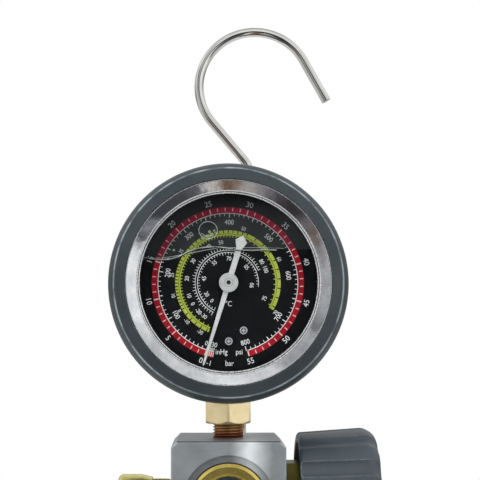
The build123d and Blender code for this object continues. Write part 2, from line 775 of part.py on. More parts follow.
pointer_turn = radians(pointer_zero_angle)
pointer_sketch = Plane(
    origin=(0, pointer_plane + pointer_thickness, gauge_height),
    x_dir=(-cos(pointer_turn), 0, sin(pointer_turn)),
    z_dir=(0, -1, 0),
)
hub_front = pointer_plane - hub_front_step
with BuildPart() as pointer:
    with BuildSketch(pointer_sketch):
        with BuildLine():
            Polyline(
                (-pointer_root_width / 2, 0),
                (-pointer_tip_width / 2, pointer_length - pointer_tip_width),
                (0, pointer_length),
                (pointer_tip_width / 2, pointer_length - pointer_tip_width),
                (pointer_root_width / 2, 0),
                (pointer_tail_width / 2, pointer_paddle_length - pointer_tail_length),
                (pointer_paddle_width / 2, pointer_paddle_point - pointer_tail_length),
                (0, -pointer_tail_length),
                (-pointer_paddle_width / 2, pointer_paddle_point - pointer_tail_length),
                (-pointer_tail_width / 2, pointer_paddle_length - pointer_tail_length),
                close=True,
            )
        make_face()
    extrude(amount=pointer_thickness)
    with BuildSketch(front_plane(hub_front + hub_length)):
        Circle(hub_radius)
    extrude(amount=hub_length)
    with Locations(front_plane(hub_front)):
        Hole(arbor_radius + seat_gap)

# ---------------------------------------------------------------- movement plates
def plate_points(bottom_drop):
    """Corners of a movement plate round the pinion, the sector's pivot and the foot on the tang."""
    first_pillar, second_pillar, side_pillar = pillar_places
    return [
        (-tang_width / 2, -bottom_drop),
        (tang_width / 2, -bottom_drop),
        (tang_width / 2 + plate_step, plate_step * 2 - tang_top_drop),
        (sector_pivot_x + plate_margin, side_pillar[1] - plate_margin + plate_step),
        (sector_pivot_x + plate_margin, plate_margin),
        (plate_margin, plate_margin + plate_step),
        (first_pillar[0] + plate_margin, first_pillar[1] + plate_margin),
        (first_pillar[0] - plate_margin, first_pillar[1] + plate_margin),
        (first_pillar[0] - plate_margin, second_pillar[1] - plate_step),
    ]


arbor_hole_radius = arbor_radius + running_gap
pivot_places = [(0, 0), (sector_pivot_x, 0)]
with BuildPart() as movement_back_plate:
    with BuildSketch(front_plane(back_plate_back)):
        Polygon(*plate_points(tang_bottom_drop - plate_step), align=None)
        with Locations(pivot_places):
            Circle(arbor_hole_radius, mode=Mode.SUBTRACT)
        with Locations([(0, -drop) for drop in plate_screw_drops]):
            Circle(plate_screw_radius + seat_gap, mode=Mode.SUBTRACT)
    extrude(amount=plate_thickness)
    fillet(movement_back_plate.edges().filter_by(Axis.Y).filter_by(GeomType.LINE), plate_corner)

with BuildPart() as movement_front_plate:
    with BuildSketch(front_plane(front_plate_back)):
        Polygon(*plate_points(plate_margin - dial_screw_places[1][1]), align=None)
        with Locations(pivot_places):
            Circle(arbor_hole_radius, mode=Mode.SUBTRACT)
    extrude(amount=plate_thickness)
    fillet(movement_front_plate.edges().filter_by(Axis.Y).filter_by(GeomType.LINE), plate_corner)
    with BuildSketch(front_plane(front_plate_front)):
        with Locations(dial_screw_places):
            Circle(dial_screw_head_radius + dial_boss_wall)
    extrude(amount=front_plate_front - dial_back)
    with Locations(front_plane(dial_back)):
        with Locations(dial_screw_places):
            Hole(dial_screw_radius + seat_gap, front_plate_front - dial_back + seat_gap)

with BuildPart() as movement_pillars:
    with BuildSketch(front_plane(back_plate_front)):
        with Locations(pillar_places):
            Circle(pillar_radius)
    extrude(amount=plate_spacing)

with BuildPart() as movement_screws:
    with BuildSketch(front_plane(back_plate_front)):
        with Locations([(0, -drop) for drop in plate_screw_drops]):
            Circle(plate_screw_head_radius)
    extrude(amount=plate_screw_head_height)
    with BuildSketch(front_plane(back_plate_back + tang_thickness / 2 - seat_gap)):
        with Locations([(0, -drop) for drop in plate_screw_drops]):
            Circle(plate_screw_radius)
    extrude(amount=tang_thickness / 2 - seat_gap + plate_thickness)

# ---------------------------------------------------------------- gears
def tooth_points(pitch_radius, inward=0.3):
    """Corners of one tooth whose middle lies along local +x: straight flanks with backlash taken off."""
    half_pitch = pi * gear_module / 4 - tooth_backlash
    slope = tan(radians(flank_angle))
    root_drop = tooth_dedendum * gear_module + inward
    tip_rise = tooth_addendum * gear_module
    root_half = half_pitch + tooth_dedendum * gear_module * slope
    tip_half = half_pitch - tip_rise * slope
    return [
        (pitch_radius - root_drop, -root_half),
        (pitch_radius + tip_rise, -tip_half),
        (pitch_radius + tip_rise, tip_half),
        (pitch_radius - root_drop, root_half),
    ]


pinion_root_radius = pinion_pitch_radius - tooth_dedendum * gear_module
sector_root_radius = sector_pitch_radius - tooth_dedendum * gear_module
pinion_pitch_angle = 360 / pinion_teeth
sector_pitch_angle = pinion_pitch_angle / gear_ratio

with BuildPart() as pinion_shaft:
    with BuildSketch(front_plane(gear_middle + pinion_face / 2)):
        Circle(pinion_root_radius)
        with PolarLocations(0, pinion_teeth):
            Polygon(*tooth_points(pinion_pitch_radius), align=None)
    extrude(amount=pinion_face)
    with BuildSketch(front_plane(back_plate_back)):
        Circle(arbor_radius)
    extrude(amount=back_plate_back - hub_front)

first_tooth = -(int(sector_under_swing / sector_pitch_angle) + sector_spare_teeth)
last_tooth = int(sector_swing / sector_pitch_angle) + sector_spare_teeth
rim_start = 180 - (last_tooth + 0.5) * sector_pitch_angle
rim_end = 180 - (first_tooth - 0.5) * sector_pitch_angle
rim_middle = (rim_start + rim_end) / 2
sector_plane = front_plane(gear_middle + sector_face / 2, gauge_height, sector_pivot_x)
with BuildPart() as sector_gear:
    with BuildSketch(sector_plane):
        with BuildLine():
            outer = CenterArc((0, 0), sector_root_radius, rim_start, rim_end - rim_start)
            inner = CenterArc((0, 0), sector_root_radius - sector_rim, rim_start, rim_end - rim_start)
            Line(outer @ 0, inner @ 0)
            Line(outer @ 1, inner @ 1)
        make_face()
        for step in range(first_tooth, last_tooth + 1):
            tooth_angle = 180 - (step + 0.5) * sector_pitch_angle
            with Locations(Location((0, 0), tooth_angle)):
                Polygon(*tooth_points(sector_pitch_radius), align=None)
        for arm_angle in (rim_start + sector_arm_width, rim_middle, rim_end - sector_arm_width):
            arm_reach = sector_root_radius - sector_rim / 2
            with Locations(Location((0, 0), arm_angle)):
                with Locations((arm_reach / 2, 0)):
                    Rectangle(arm_reach, sector_arm_width / 2)
        Circle(sector_hub_radius)
        with Locations(Location((0, 0), sector_tail_angle)):
            with Locations((sector_tail_length / 2, 0)):
                SlotCenterToCenter(sector_tail_length, sector_tail_width)
    extrude(amount=sector_face)
    with BuildSketch(front_plane(back_plate_back, gauge_height, sector_pivot_x)):
        Circle(arbor_radius)
    extrude(amount=back_plate_back - front_plate_front)
    with BuildSketch(front_plane(link_back, gauge_height + tail_pin_z, tail_pin_x)):
        Circle(link_pin_radius)
    extrude(amount=link_back - gear_middle)

with BuildPart() as tube_link:
    with BuildSketch(front_plane(link_back, gauge_height + tail_pin_z, tail_pin_x)):
        with Locations((0, link_length / 2)):
            SlotCenterToCenter(link_length, link_width, rotation=90)
        Circle(link_pin_radius + running_gap, mode=Mode.SUBTRACT)
        with Locations((0, link_length)):
            Circle(link_pin_radius + running_gap, mode=Mode.SUBTRACT)
    extrude(amount=link_thickness)

# ---------------------------------------------------------------- Bourdon tube and its tip
tube_sweep = tube_start_angle - tube_end_angle
tube_plane = Plane(
    origin=dial_centre,
    x_dir=(cos(radians(tube_start_angle)), 0, sin(radians(tube_start_angle))),
    z_dir=(-sin(radians(tube_start_angle)), 0, cos(radians(tube_start_angle))),
)


with BuildPart() as bourdon_tube:
    with BuildSketch(tube_plane):
        with Locations((tube_radius, tube_middle)):
            SlotOverall(tube_height, tube_width, rotation=90)
            SlotOverall(tube_height - tube_wall * 2, tube_width - tube_wall * 2, rotation=90, mode=Mode.SUBTRACT)
    revolve(axis=dial_axis, revolution_arc=tube_sweep)

end_angle = radians(tube_end_angle)
tip_plane = Plane(
    origin=(tube_radius * cos(end_angle), tube_middle, gauge_height + tube_radius * sin(end_angle)),
    x_dir=(cos(end_angle), 0, sin(end_angle)),
    z_dir=(sin(end_angle), 0, -cos(end_angle)),
)
tip_hole = (tail_pin_x, gauge_height + tail_pin_z + link_length)
with BuildPart() as tube_tip:
    with BuildSketch(tip_plane):
        SlotOverall(tube_height + tip_wall, tube_width + tip_wall, rotation=90)
    extrude(amount=tip_wall)
    with BuildSketch(tip_plane):
        SlotOverall(tube_height - tube_wall * 2 - seat_gap * 2, tube_width - tube_wall * 2 - seat_gap * 2, rotation=90)
    extrude(amount=-tip_wall)
    tip_end = tip_plane.from_local_coords((0, 0, tip_wall))
    with BuildSketch(front_plane(tube_middle, 0)):
        with BuildLine():
            Polyline(
                (tip_end.X - ear_width / 2, tip_end.Z),
                (tip_end.X + ear_width / 2, tip_end.Z),
                (tip_hole[0] + ear_width / 2, tip_hole[1]),
                (tip_hole[0] - ear_width / 2, tip_hole[1]),
                close=True,
            )
        make_face()
        with Locations(tip_hole):
            Circle(ear_width / 2)
    extrude(amount=tube_middle - ear_front)
    with Locations(front_plane(ear_back, 0)):
        with Locations(tip_hole):
            Hole(link_pin_radius + running_gap, tube_height)

# ================================================================ hanging hook
hook_plane = Plane(origin=(0, hook_plane_y, hook_pivot_height), x_dir=(1, 0, 0), z_dir=(0, -1, 0))
with BuildPart() as hanging_hook:
    with BuildLine(hook_plane) as hook_wire:
        eye = CenterArc((0, 0), hook_eye_radius, hook_eye_start, 360 - hook_lean - hook_eye_start)
        shank = PolarLine(eye @ 1, hook_shank_length, direction=eye % 1)
        bend = JernArc(shank @ 1, shank % 1, hook_bend_radius, hook_bend_angle)
        incline = PolarLine(bend @ 1, hook_incline_length, direction=bend % 1)
        crook = JernArc(incline @ 1, incline % 1, hook_crook_radius, -hook_crook_angle)
        tail = PolarLine(crook @ 1, hook_tail_length, direction=crook % 1)
    with BuildSketch(Plane(origin=hook_wire.line @ 0, z_dir=hook_wire.line % 0)):
        Circle(wire_radius)
    sweep()

washer_faces = [block_back, block_back + washer_thickness + seat_gap * 2 + wire_radius * 2]
with BuildPart() as hook_washers:
    for washer_face in washer_faces:
        with BuildSketch(front_plane(washer_face + washer_thickness, hook_pivot_height)):
            Circle(washer_radius)
            Circle(hook_screw_radius + running_gap, mode=Mode.SUBTRACT)
        extrude(amount=washer_thickness)

hook_head_y = washer_faces[1] + washer_thickness + seat_gap
with BuildPart() as hook_screw:
    with BuildSketch(front_plane(hook_head_y + hook_screw_head_height, hook_pivot_height)):
        RegularPolygon(hook_screw_head_across / 2, 6, major_radius=False)
    extrude(amount=hook_screw_head_height)
    with BuildSketch(front_plane(hook_head_y, hook_pivot_height)):
        Circle(hook_screw_radius)
    extrude(amount=hook_head_y - block_back)
    with BuildSketch(front_plane(block_back, hook_pivot_height)):
        Circle(hook_screw_thread_radius)
    extrude(amount=hook_screw_thread_length)

pieces = {
    "manifold_block": manifold_block,
    "service_port": service_port,
    "side_port": side_port,
    "side_cap": side_cap,
    "side_cap_seal": side_cap_seal,
    "sight_ring": sight_ring,
    "sight_glass": sight_glass,
    "sight_gasket": sight_gasket,
    "valve_disc": valve_disc,
    "valve_stem": valve_stem,
    "valve_bonnet": valve_bonnet,
    "valve_packing": valve_packing,
    "valve_knob": valve_knob,
    "knob_screw": knob_screw,
    "gauge_socket": gauge_socket,
    "gauge_case": gauge_case,
    "fill_plug": fill_plug,
    "lens_gasket": lens_gasket,
    "gauge_lens": gauge_lens,
    "gauge_bezel": gauge_bezel,
    "gauge_boot": gauge_boot,
    "gauge_dial": gauge_dial,
    "dial_screws": dial_screws,
    "pointer": pointer,
    "movement_back_plate": movement_back_plate,
    "movement_front_plate": movement_front_plate,
    "movement_pillars": movement_pillars,
    "movement_screws": movement_screws,
    "pinion_shaft": pinion_shaft,
    "sector_gear": sector_gear,
    "tube_link": tube_link,
    "bourdon_tube": bourdon_tube,
    "tube_tip": tube_tip,
    "hanging_hook": hanging_hook,
    "hook_washers": hook_washers,
    "hook_screw": hook_screw,
}
for name, piece in pieces.items():
    piece.part.label = name
    export_step(piece.part, f"parts/{name}.step")
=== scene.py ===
"""Looks for the refrigerant manifold gauge: finishes, threads, dial print, fill line, light and camera.

Metres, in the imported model's frame: +X to the valve knob, +Y to the back, +Z up.
Sizes below are in millimetres and go through MM.
"""
from math import ceil, cos, pi, radians, sin

import bmesh
import bpy
from mathutils import Matrix, Vector


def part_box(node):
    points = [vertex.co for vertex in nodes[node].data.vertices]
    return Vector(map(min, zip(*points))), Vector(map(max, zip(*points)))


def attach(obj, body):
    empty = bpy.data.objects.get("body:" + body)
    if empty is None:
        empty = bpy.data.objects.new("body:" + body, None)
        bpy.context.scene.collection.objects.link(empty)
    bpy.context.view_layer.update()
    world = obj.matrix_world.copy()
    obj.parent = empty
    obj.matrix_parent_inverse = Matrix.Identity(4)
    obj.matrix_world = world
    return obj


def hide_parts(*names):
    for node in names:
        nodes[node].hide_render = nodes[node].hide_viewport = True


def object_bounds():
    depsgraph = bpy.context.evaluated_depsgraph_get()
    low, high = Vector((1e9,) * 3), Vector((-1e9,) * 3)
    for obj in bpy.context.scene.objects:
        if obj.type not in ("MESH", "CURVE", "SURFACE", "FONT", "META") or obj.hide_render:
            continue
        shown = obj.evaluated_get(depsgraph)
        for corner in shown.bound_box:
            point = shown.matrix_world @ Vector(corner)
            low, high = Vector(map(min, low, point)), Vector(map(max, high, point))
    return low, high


MM = 0.001
GAUGE_HEIGHT = 105.0         # height of the dial's centre
SIGHT_HEIGHT = 35.2          # height of the sight glass's axis, the side port's too
DIAL_FRONT = -11.0           # Y of the dial's painted face
LENS_BACK = -14.6            # Y of the lens's inner face

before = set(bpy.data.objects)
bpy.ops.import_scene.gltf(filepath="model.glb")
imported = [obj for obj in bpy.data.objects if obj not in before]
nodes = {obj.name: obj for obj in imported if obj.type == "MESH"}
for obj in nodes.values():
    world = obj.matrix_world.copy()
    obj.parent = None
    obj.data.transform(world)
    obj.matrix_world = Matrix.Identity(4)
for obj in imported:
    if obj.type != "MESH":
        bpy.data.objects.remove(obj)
cad_box = [list(corner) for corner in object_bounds()]
scene = bpy.context.scene


def srgb(red, green, blue):
    """Scene-linear colour from an 8-bit display colour."""
    linear = []
    for level in (red, green, blue):
        share = level / 255
        linear.append(share / 12.92 if share <= 0.04045 else ((share + 0.055) / 1.055) ** 2.4)
    return (*linear, 1.0)


# ------------------------------------------------------------------ camera
CAMERA_PLACE = (-4.4, -400.0, 84.8)
CAMERA_TILT = 5.04           # degrees above level
CAMERA_TURN = -1.2           # degrees about +Z, so a little to the right
camera_data = bpy.data.cameras.new("camera")
camera_data.sensor_width = 36.0
camera_data.lens = 89.25
camera_data.clip_start = 0.01
camera_data.clip_end = 50.0
camera = bpy.data.objects.new("camera", camera_data)
camera.location = [value * MM for value in CAMERA_PLACE]
camera.rotation_euler = (radians(90 + CAMERA_TILT), 0.0, radians(CAMERA_TURN))
scene.collection.objects.link(camera)
scene.camera = camera


# ------------------------------------------------------------------ shader helpers
class Tree:
    """A node tree, with what the materials and the world both need."""

    def __init__(self, tree):
        self.tree = tree
        tree.nodes.clear()

    def node(self, kind, **settings):
        made = self.tree.nodes.new(kind)
        for key, value in settings.items():
            setattr(made, key, value)
        return made

    def link(self, source, target):
        self.tree.links.new(source, target)

    def feed(self, socket, value):
        """Sets a socket to a number or colour, or links another socket to it."""
        if isinstance(value, (int, float, tuple)):
            socket.default_value = value
        else:
            self.link(value, socket)

    def math(self, operation, first, second=0.0):
        made = self.node("ShaderNodeMath", operation=operation)
        self.feed(made.inputs[0], first)
        self.feed(made.inputs[1], second)
        return made.outputs[0]

    def times(self, first, second):
        return self.math("MULTIPLY", first, second)

    def mix(self, factor, first, second, way="MIX"):
        """Colour mix."""
        made = self.node("ShaderNodeMix", data_type="RGBA", blend_type=way)
        for index, value in ((0, factor), (6, first), (7, second)):
            self.feed(made.inputs[index], value)
        return made.outputs[2]

    def ramp(self, source, stops):
        """Colour ramp; each stop is a place and either a grey level or a colour."""
        made = self.node("ShaderNodeValToRGB")
        self.link(source, made.inputs[0])
        elements = made.color_ramp.elements
        while len(elements) < len(stops):
            elements.new(0.5)
        for element, (where, tone) in zip(elements, stops):
            element.position = where
            element.color = (tone, tone, tone, 1.0) if isinstance(tone, float) else tone
        return made.outputs[0]

    def blend(self, factor, first, second):
        """Mix of two surface or background shaders."""
        made = self.node("ShaderNodeMixShader")
        for socket, value in zip(made.inputs, (factor, first, second)):
            self.link(value, socket)
        return made.outputs[0]


class Shader(Tree):
    """One node material and the few node patterns that every finish here is made of."""

    def __init__(self, name):
        self.material = bpy.data.materials.new(name)
        self.material.use_nodes = True
        super().__init__(self.material.node_tree)
        self.output = self.node("ShaderNodeOutputMaterial")
        self.bsdf = self.node("ShaderNodeBsdfPrincipled")
        self.show(self.bsdf.outputs[0])
        self.normal = None

    def show(self, surface):
        self.link(surface, self.output.inputs["Surface"])

    def place(self, size, stretch=(1, 1, 1), shift=(0, 0, 0)):
        """Object coordinates in units of `size` millimetres, stretched per axis."""
        coords = self.node("ShaderNodeTexCoord")
        mapping = self.node("ShaderNodeMapping")
        for axis in range(3):
            mapping.inputs["Scale"].default_value[axis] = 1 / (size * MM * stretch[axis])
            mapping.inputs["Location"].default_value[axis] = shift[axis]
        self.link(coords.outputs["Object"], mapping.inputs["Vector"])
        return mapping.outputs[0]

    def noise(self, size, stretch=(1, 1, 1), detail=3.0, distort=0.0, shift=(0, 0, 0)):
        made = self.node("ShaderNodeTexNoise")
        made.inputs["Scale"].default_value = 1.0
        made.inputs["Detail"].default_value = detail
        made.inputs["Roughness"].default_value = 0.55
        made.inputs["Distortion"].default_value = distort
        self.link(self.place(size, stretch, shift), made.inputs["Vector"])
        return made.outputs["Fac"]

    def span(self, value, low, high, to_low=0.0, to_high=1.0):
        """Maps low...high to to_low...to_high, and holds the ends."""
        made = self.node("ShaderNodeMapRange", clamp=True)
        sockets = ("From Min", "From Max", "To Min", "To Max")
        for socket, number in zip(sockets, (low, high, to_low, to_high)):
            made.inputs[socket].default_value = number
        self.link(value, made.inputs["Value"])
        return made.outputs["Result"]

    def between(self, value, rise, fall):
        """0 outside and 1 inside a stretch, with a ramp up over `rise` and a ramp down over `fall`."""
        return self.times(self.span(value, *rise), self.span(value, *fall, 1.0, 0.0))

    def distance(self, first, second):
        """Length of the offset whose two parts are given."""
        squares = (self.math("POWER", first, 2.0), self.math("POWER", second, 2.0))
        return self.math("SQRT", self.math("ADD", *squares))

    def from_dial_axis(self):
        """Distance from the axis through the dial's centre."""
        across, _, upward = self.position()
        return self.distance(across, self.math("SUBTRACT", upward, GAUGE_HEIGHT))

    def base(self):
        """The colour linked so far."""
        return self.bsdf.inputs["Base Color"].links[0].from_socket

    def position(self):
        """X, Y and Z of the surface in millimetres, as three sockets."""
        split = self.node("ShaderNodeSeparateXYZ")
        self.link(self.place(1.0), split.inputs[0])
        return split.outputs

    def edges(self, radius):
        """1 on worn edges, 0 on flats: how far a rounded normal leans from the true one."""
        rounded = self.node("ShaderNodeBevel", samples=4)
        rounded.inputs["Radius"].default_value = radius * MM
        geometry = self.node("ShaderNodeNewGeometry")
        dot = self.node("ShaderNodeVectorMath", operation="DOT_PRODUCT")
        self.link(rounded.outputs[0], dot.inputs[0])
        self.link(geometry.outputs["Normal"], dot.inputs[1])
        return self.span(dot.outputs["Value"], 0.985, 0.80)

    def soften(self, radius):
        """Shades sharp edges as if they were broken to this radius."""
        rounded = self.node("ShaderNodeBevel", samples=6)
        rounded.inputs["Radius"].default_value = radius * MM
        self.normal = rounded.outputs[0]
        self.link(self.normal, self.bsdf.inputs["Normal"])

    def bump(self, height, depth):
        """Adds relief `depth` millimetres deep."""
        made = self.node("ShaderNodeBump")
        made.inputs["Strength"].default_value = 1.0
        made.inputs["Distance"].default_value = depth * MM
        self.link(height, made.inputs["Height"])
        if self.normal is not None:
            self.link(self.normal, made.inputs["Normal"])
        self.normal = made.outputs[0]
        self.link(self.normal, self.bsdf.inputs["Normal"])

    def set(self, **sockets):
        for name, value in sockets.items():
            self.feed(self.bsdf.inputs[name.replace("_", " ")], value)


def finish(name, dark, light, patch, gloss, metal=0.0, grain=0.3, stretch=(1, 1, 1), relief=0.0,
           wear=None, wear_radius=0.35, spots=None):
    """A worked finish: patches of tone, grain in the gloss and relief, worn edges and small spots."""
    shader = Shader(name)
    tone = shader.span(shader.noise(patch, detail=4.0), 0.3, 0.7)
    colour = shader.mix(tone, dark, light)
    fine = shader.noise(grain, stretch, detail=3.0)
    deep = (*(0.6 * channel for channel in dark[:3]), 1.0)
    colour = shader.mix(shader.span(fine, 0.25, 0.75, 0.0, 0.16), colour, deep)
    rough = shader.span(fine, 0.25, 0.75, gloss[0], gloss[1])
    if wear:
        shader.soften(wear_radius)
        scratches = shader.span(shader.noise(1.3, detail=5.0), 0.35, 0.6)
        scuff = shader.times(shader.edges(wear_radius), scratches)
        colour = shader.mix(scuff, colour, wear)
    if spots:
        size, level, tone = spots
        speck = shader.span(shader.noise(size, detail=2.0, shift=(5, 9, 2)), level, level + 0.06)
        colour = shader.mix(speck, colour, tone)
    shader.set(Base_Color=colour, Roughness=rough, Metallic=metal)
    if relief:
        shader.bump(fine, relief)
    return shader


def clothe(shader, *names):
    """Gives CAD nodes this material."""
    for name in names:
        mesh_object = nodes[name]
        if not mesh_object.material_slots:
            mesh_object.data.materials.append(None)
        for slot in mesh_object.material_slots:
            slot.material = shader.material


# ------------------------------------------------------------------ finishes
BLOCK_METAL = 0.72
aluminium = finish("block_aluminium", srgb(158, 164, 168), srgb(184, 190, 193), 9.0, (0.28, 0.38),
                   metal=BLOCK_METAL, grain=0.16, stretch=(26, 1, 1), relief=0.004,
                   wear=srgb(236, 238, 240), wear_radius=0.12)
aluminium.bump(aluminium.noise(1.4, (5, 1, 1), detail=5.0), 0.012)

# A painted highlight: a pale band down the front, a little right of the middle, standing in for a lamp's
# reflection.
block_low, block_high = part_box("manifold_block")
block_top, block_front = block_high.z / MM, block_low.y / MM
block_x, block_y, block_z = aluminium.position()
block_across = aluminium.math("ADD", block_x, aluminium.span(aluminium.noise(6.0), 0.2, 0.8, -1.5, 1.5))
painted_highlight_band = aluminium.between(block_across, (0.5, 6.0), (7.5, 13.5))
block_colour = aluminium.mix(aluminium.times(painted_highlight_band, 0.85), aluminium.base(), srgb(236, 241, 243))

# Painted shade and a painted dark reflection: the top face is darkened, a dark line runs along its front
# edge, and the spot face round the sight glass is darkened as if in shade.
SPOT_RADIUS = 14.8
edge_break = (block_front + 0.4, block_front + 0.6)
top_painted_shade = aluminium.span(block_z, block_top - 0.3, block_top - 0.05)
edge_dark_reflection = aluminium.times(aluminium.span(block_z, block_top - 0.42, block_top - 0.3),
                            aluminium.span(block_y, *edge_break, 1.0, 0.0))
from_sight_axis = aluminium.distance(block_x, aluminium.math("SUBTRACT", block_z, SIGHT_HEIGHT))
spot_face_shade = aluminium.between(block_y, edge_break, (block_front + 0.9, block_front + 1.1))
spot_edge = aluminium.span(from_sight_axis, SPOT_RADIUS - 0.1, SPOT_RADIUS + 0.1, 1.0, 0.0)
spot_face_shade = aluminium.times(spot_face_shade, spot_edge)
painted_darkening = aluminium.math("MAXIMUM", aluminium.times(top_painted_shade, 0.40), aluminium.times(edge_dark_reflection, 0.85))
painted_darkening = aluminium.math("MAXIMUM", painted_darkening, aluminium.times(spot_face_shade, 0.30))
aluminium.set(Base_Color=aluminium.mix(painted_darkening, block_colour, srgb(58, 63, 67)))
# The painted highlight band is also made less metallic, so it shows paler.
aluminium.set(Metallic=aluminium.span(painted_highlight_band, 0.0, 1.0, BLOCK_METAL, 0.45))

brass = finish("port_brass", srgb(196, 172, 98), srgb(222, 204, 136), 3.0, (0.18, 0.34), 1.0,
               grain=0.12, relief=0.004, wear=srgb(246, 234, 176), wear_radius=0.12)
cap_brass = finish("cap_brass", srgb(222, 210, 126), srgb(238, 228, 154), 4.0, (0.16, 0.30), 0.85,
                   grain=0.10, stretch=(1, 8, 8), relief=0.004, wear=srgb(246, 238, 190), wear_radius=0.3)
# The bonnet's brass is a darker copy of the port brass: painted shade, as if under the knob.
bonnet_brass = finish("bonnet_brass", srgb(76, 70, 34), srgb(100, 92, 46), 4.0, (0.24, 0.42), 1.0,
                      grain=0.14, relief=0.005, wear=srgb(190, 178, 110), wear_radius=0.15)
ring_brass = finish("ring_brass", srgb(214, 190, 96), srgb(236, 214, 124), 5.0, (0.20, 0.28), 0.9,
                    grain=0.3, relief=0.0015, wear=srgb(246, 236, 180), wear_radius=0.15)
steel = finish("stem_steel", srgb(176, 177, 180), srgb(202, 203, 206), 5.0, (0.20, 0.34), 1.0,
               grain=0.10, stretch=(1, 9, 9), relief=0.004, wear=srgb(230, 230, 232))
case_steel = finish("case_steel", srgb(176, 178, 182), srgb(198, 200, 204), 12.0, (0.22, 0.36), 1.0,
                    grain=0.12, stretch=(1, 9, 1), relief=0.006, wear=srgb(228, 230, 232))
chrome = finish("bezel_chrome", srgb(206, 208, 210), srgb(246, 247, 248), 5.0, (0.05, 0.14), 1.0,
                grain=0.5, relief=0.001)
chrome.bump(chrome.noise(5.0, detail=2.5), 0.05)
nickel = finish("hook_nickel", srgb(226, 225, 220), srgb(246, 245, 241), 7.0, (0.05, 0.14), 1.0,
                grain=0.12, stretch=(1, 1, 14), relief=0.003)
fastener = finish("fastener_steel", srgb(170, 172, 176), srgb(200, 202, 206), 3.0, (0.24, 0.40), 1.0,
                  grain=0.12, relief=0.006, wear=srgb(232, 232, 234), wear_radius=0.2)
boot = finish("boot_rubber", srgb(38, 45, 48), srgb(49, 56, 59), 16.0, (0.34, 0.48), 0.0,
              grain=0.35, relief=0.012, wear=srgb(78, 85, 89), wear_radius=0.5,
              spots=(0.5, 0.72, srgb(76, 81, 84)))
boot.set(Specular_IOR_Level=0.34)
RIDGE_RADIUS = 37.0          # the boot's front ridge, where a pale line is a painted highlight
ridge_highlight = boot.between(boot.from_dial_axis(), (RIDGE_RADIUS - 0.45, RIDGE_RADIUS - 0.05),
                      (RIDGE_RADIUS, RIDGE_RADIUS + 0.4))
ridge_highlight = boot.times(ridge_highlight, boot.span(boot.noise(5.0, detail=5.0), 0.35, 0.60, 0.15, 0.9))
boot.set(Base_Color=boot.mix(ridge_highlight, boot.base(), srgb(132, 142, 147)))
knob = finish("knob_plastic", srgb(42, 49, 54), srgb(53, 60, 65), 14.0, (0.27, 0.38), 0.0,
              grain=0.22, relief=0.006, wear=srgb(132, 139, 143), wear_radius=0.7)
seal = finish("seal_rubber", srgb(24, 24, 26), srgb(36, 36, 38), 4.0, (0.45, 0.62), grain=0.2, relief=0.01)
plug = finish("plug_rubber", srgb(28, 28, 30), srgb(40, 40, 42), 4.0, (0.42, 0.60), grain=0.3, relief=0.012)
polymer = finish("disc_polymer", srgb(222, 220, 214), srgb(238, 236, 230), 3.0, (0.40, 0.55),
                 grain=0.2, relief=0.004)
dark_steel = finish("pin_steel", srgb(60, 58, 54), srgb(82, 80, 76), 1.0, (0.30, 0.45), 1.0,
                    grain=0.1, relief=0.004)


def printed(name, wet, painted_sheen):
    """Dial paint: deep and clean under the glycerine; above its level a painted sheen makes it paler and
    hazy.
    """
    shader = Shader(name)
    across, _, upward = shader.position()
    level = shader.math("ADD", shader.span(across, -19.0, -6.0, 7.6, 11.0), GAUGE_HEIGHT)
    height_over_level = shader.math("SUBTRACT", upward, level)
    height_over_level = shader.math("ADD", height_over_level, shader.span(shader.noise(4.0, detail=4.0), 0.3, 0.7, -0.3, 0.3))
    cloud = shader.span(shader.noise(7.0, detail=4.0, distort=0.6), 0.25, 0.75)
    above = shader.times(shader.span(height_over_level, -0.1, 0.3), shader.span(cloud, 0.0, 1.0, 0.72, 1.0))
    colour = shader.mix(above, shader.mix(cloud, wet[0], wet[1]), painted_sheen)
    fine = shader.noise(0.12, detail=3.0)
    colour = shader.mix(shader.span(fine, 0.3, 0.7, 0.0, 0.10), colour, (0.0, 0.0, 0.0, 1.0))
    shader.set(Base_Color=colour, Specular_IOR_Level=0.1)
    shader.set(Roughness=shader.span(fine, 0.25, 0.75, 0.45, 0.60))
    return shader


dial_black = printed("dial_black", (srgb(13, 13, 16), srgb(21, 21, 24)), srgb(52, 53, 55))
pointer_grey = finish("pointer_grey", srgb(190, 190, 189), srgb(212, 212, 211), 3.0, (0.34, 0.48), 0.2,
                      grain=0.10, relief=0.003, wear=srgb(150, 148, 145), wear_radius=0.10)
# Turned rings on the pointer's hub: how bright each radius is, from the centre out to HUB_REACH.
HUB_REACH = 4.0
HUB_TONES = [(0.0, 0.30), (0.14, 0.35), (0.17, 0.95), (0.30, 0.80), (0.34, 0.45), (0.40, 0.85),
             (0.56, 0.72), (0.60, 0.98), (0.66, 0.55), (0.70, 0.92), (0.74, 0.80), (0.80, 1.0)]
hub_tone = pointer_grey.ramp(pointer_grey.span(pointer_grey.from_dial_axis(), 0.0, HUB_REACH), HUB_TONES)
pointer_grey.set(Base_Color=pointer_grey.mix(1.0, pointer_grey.base(), hub_tone, "MULTIPLY"))
screw_black = finish("dial_screw_black", srgb(62, 62, 65), srgb(92, 92, 96), 0.8, (0.22, 0.36), 0.4,
                     grain=0.08, relief=0.004, wear=srgb(226, 226, 228), wear_radius=0.30)
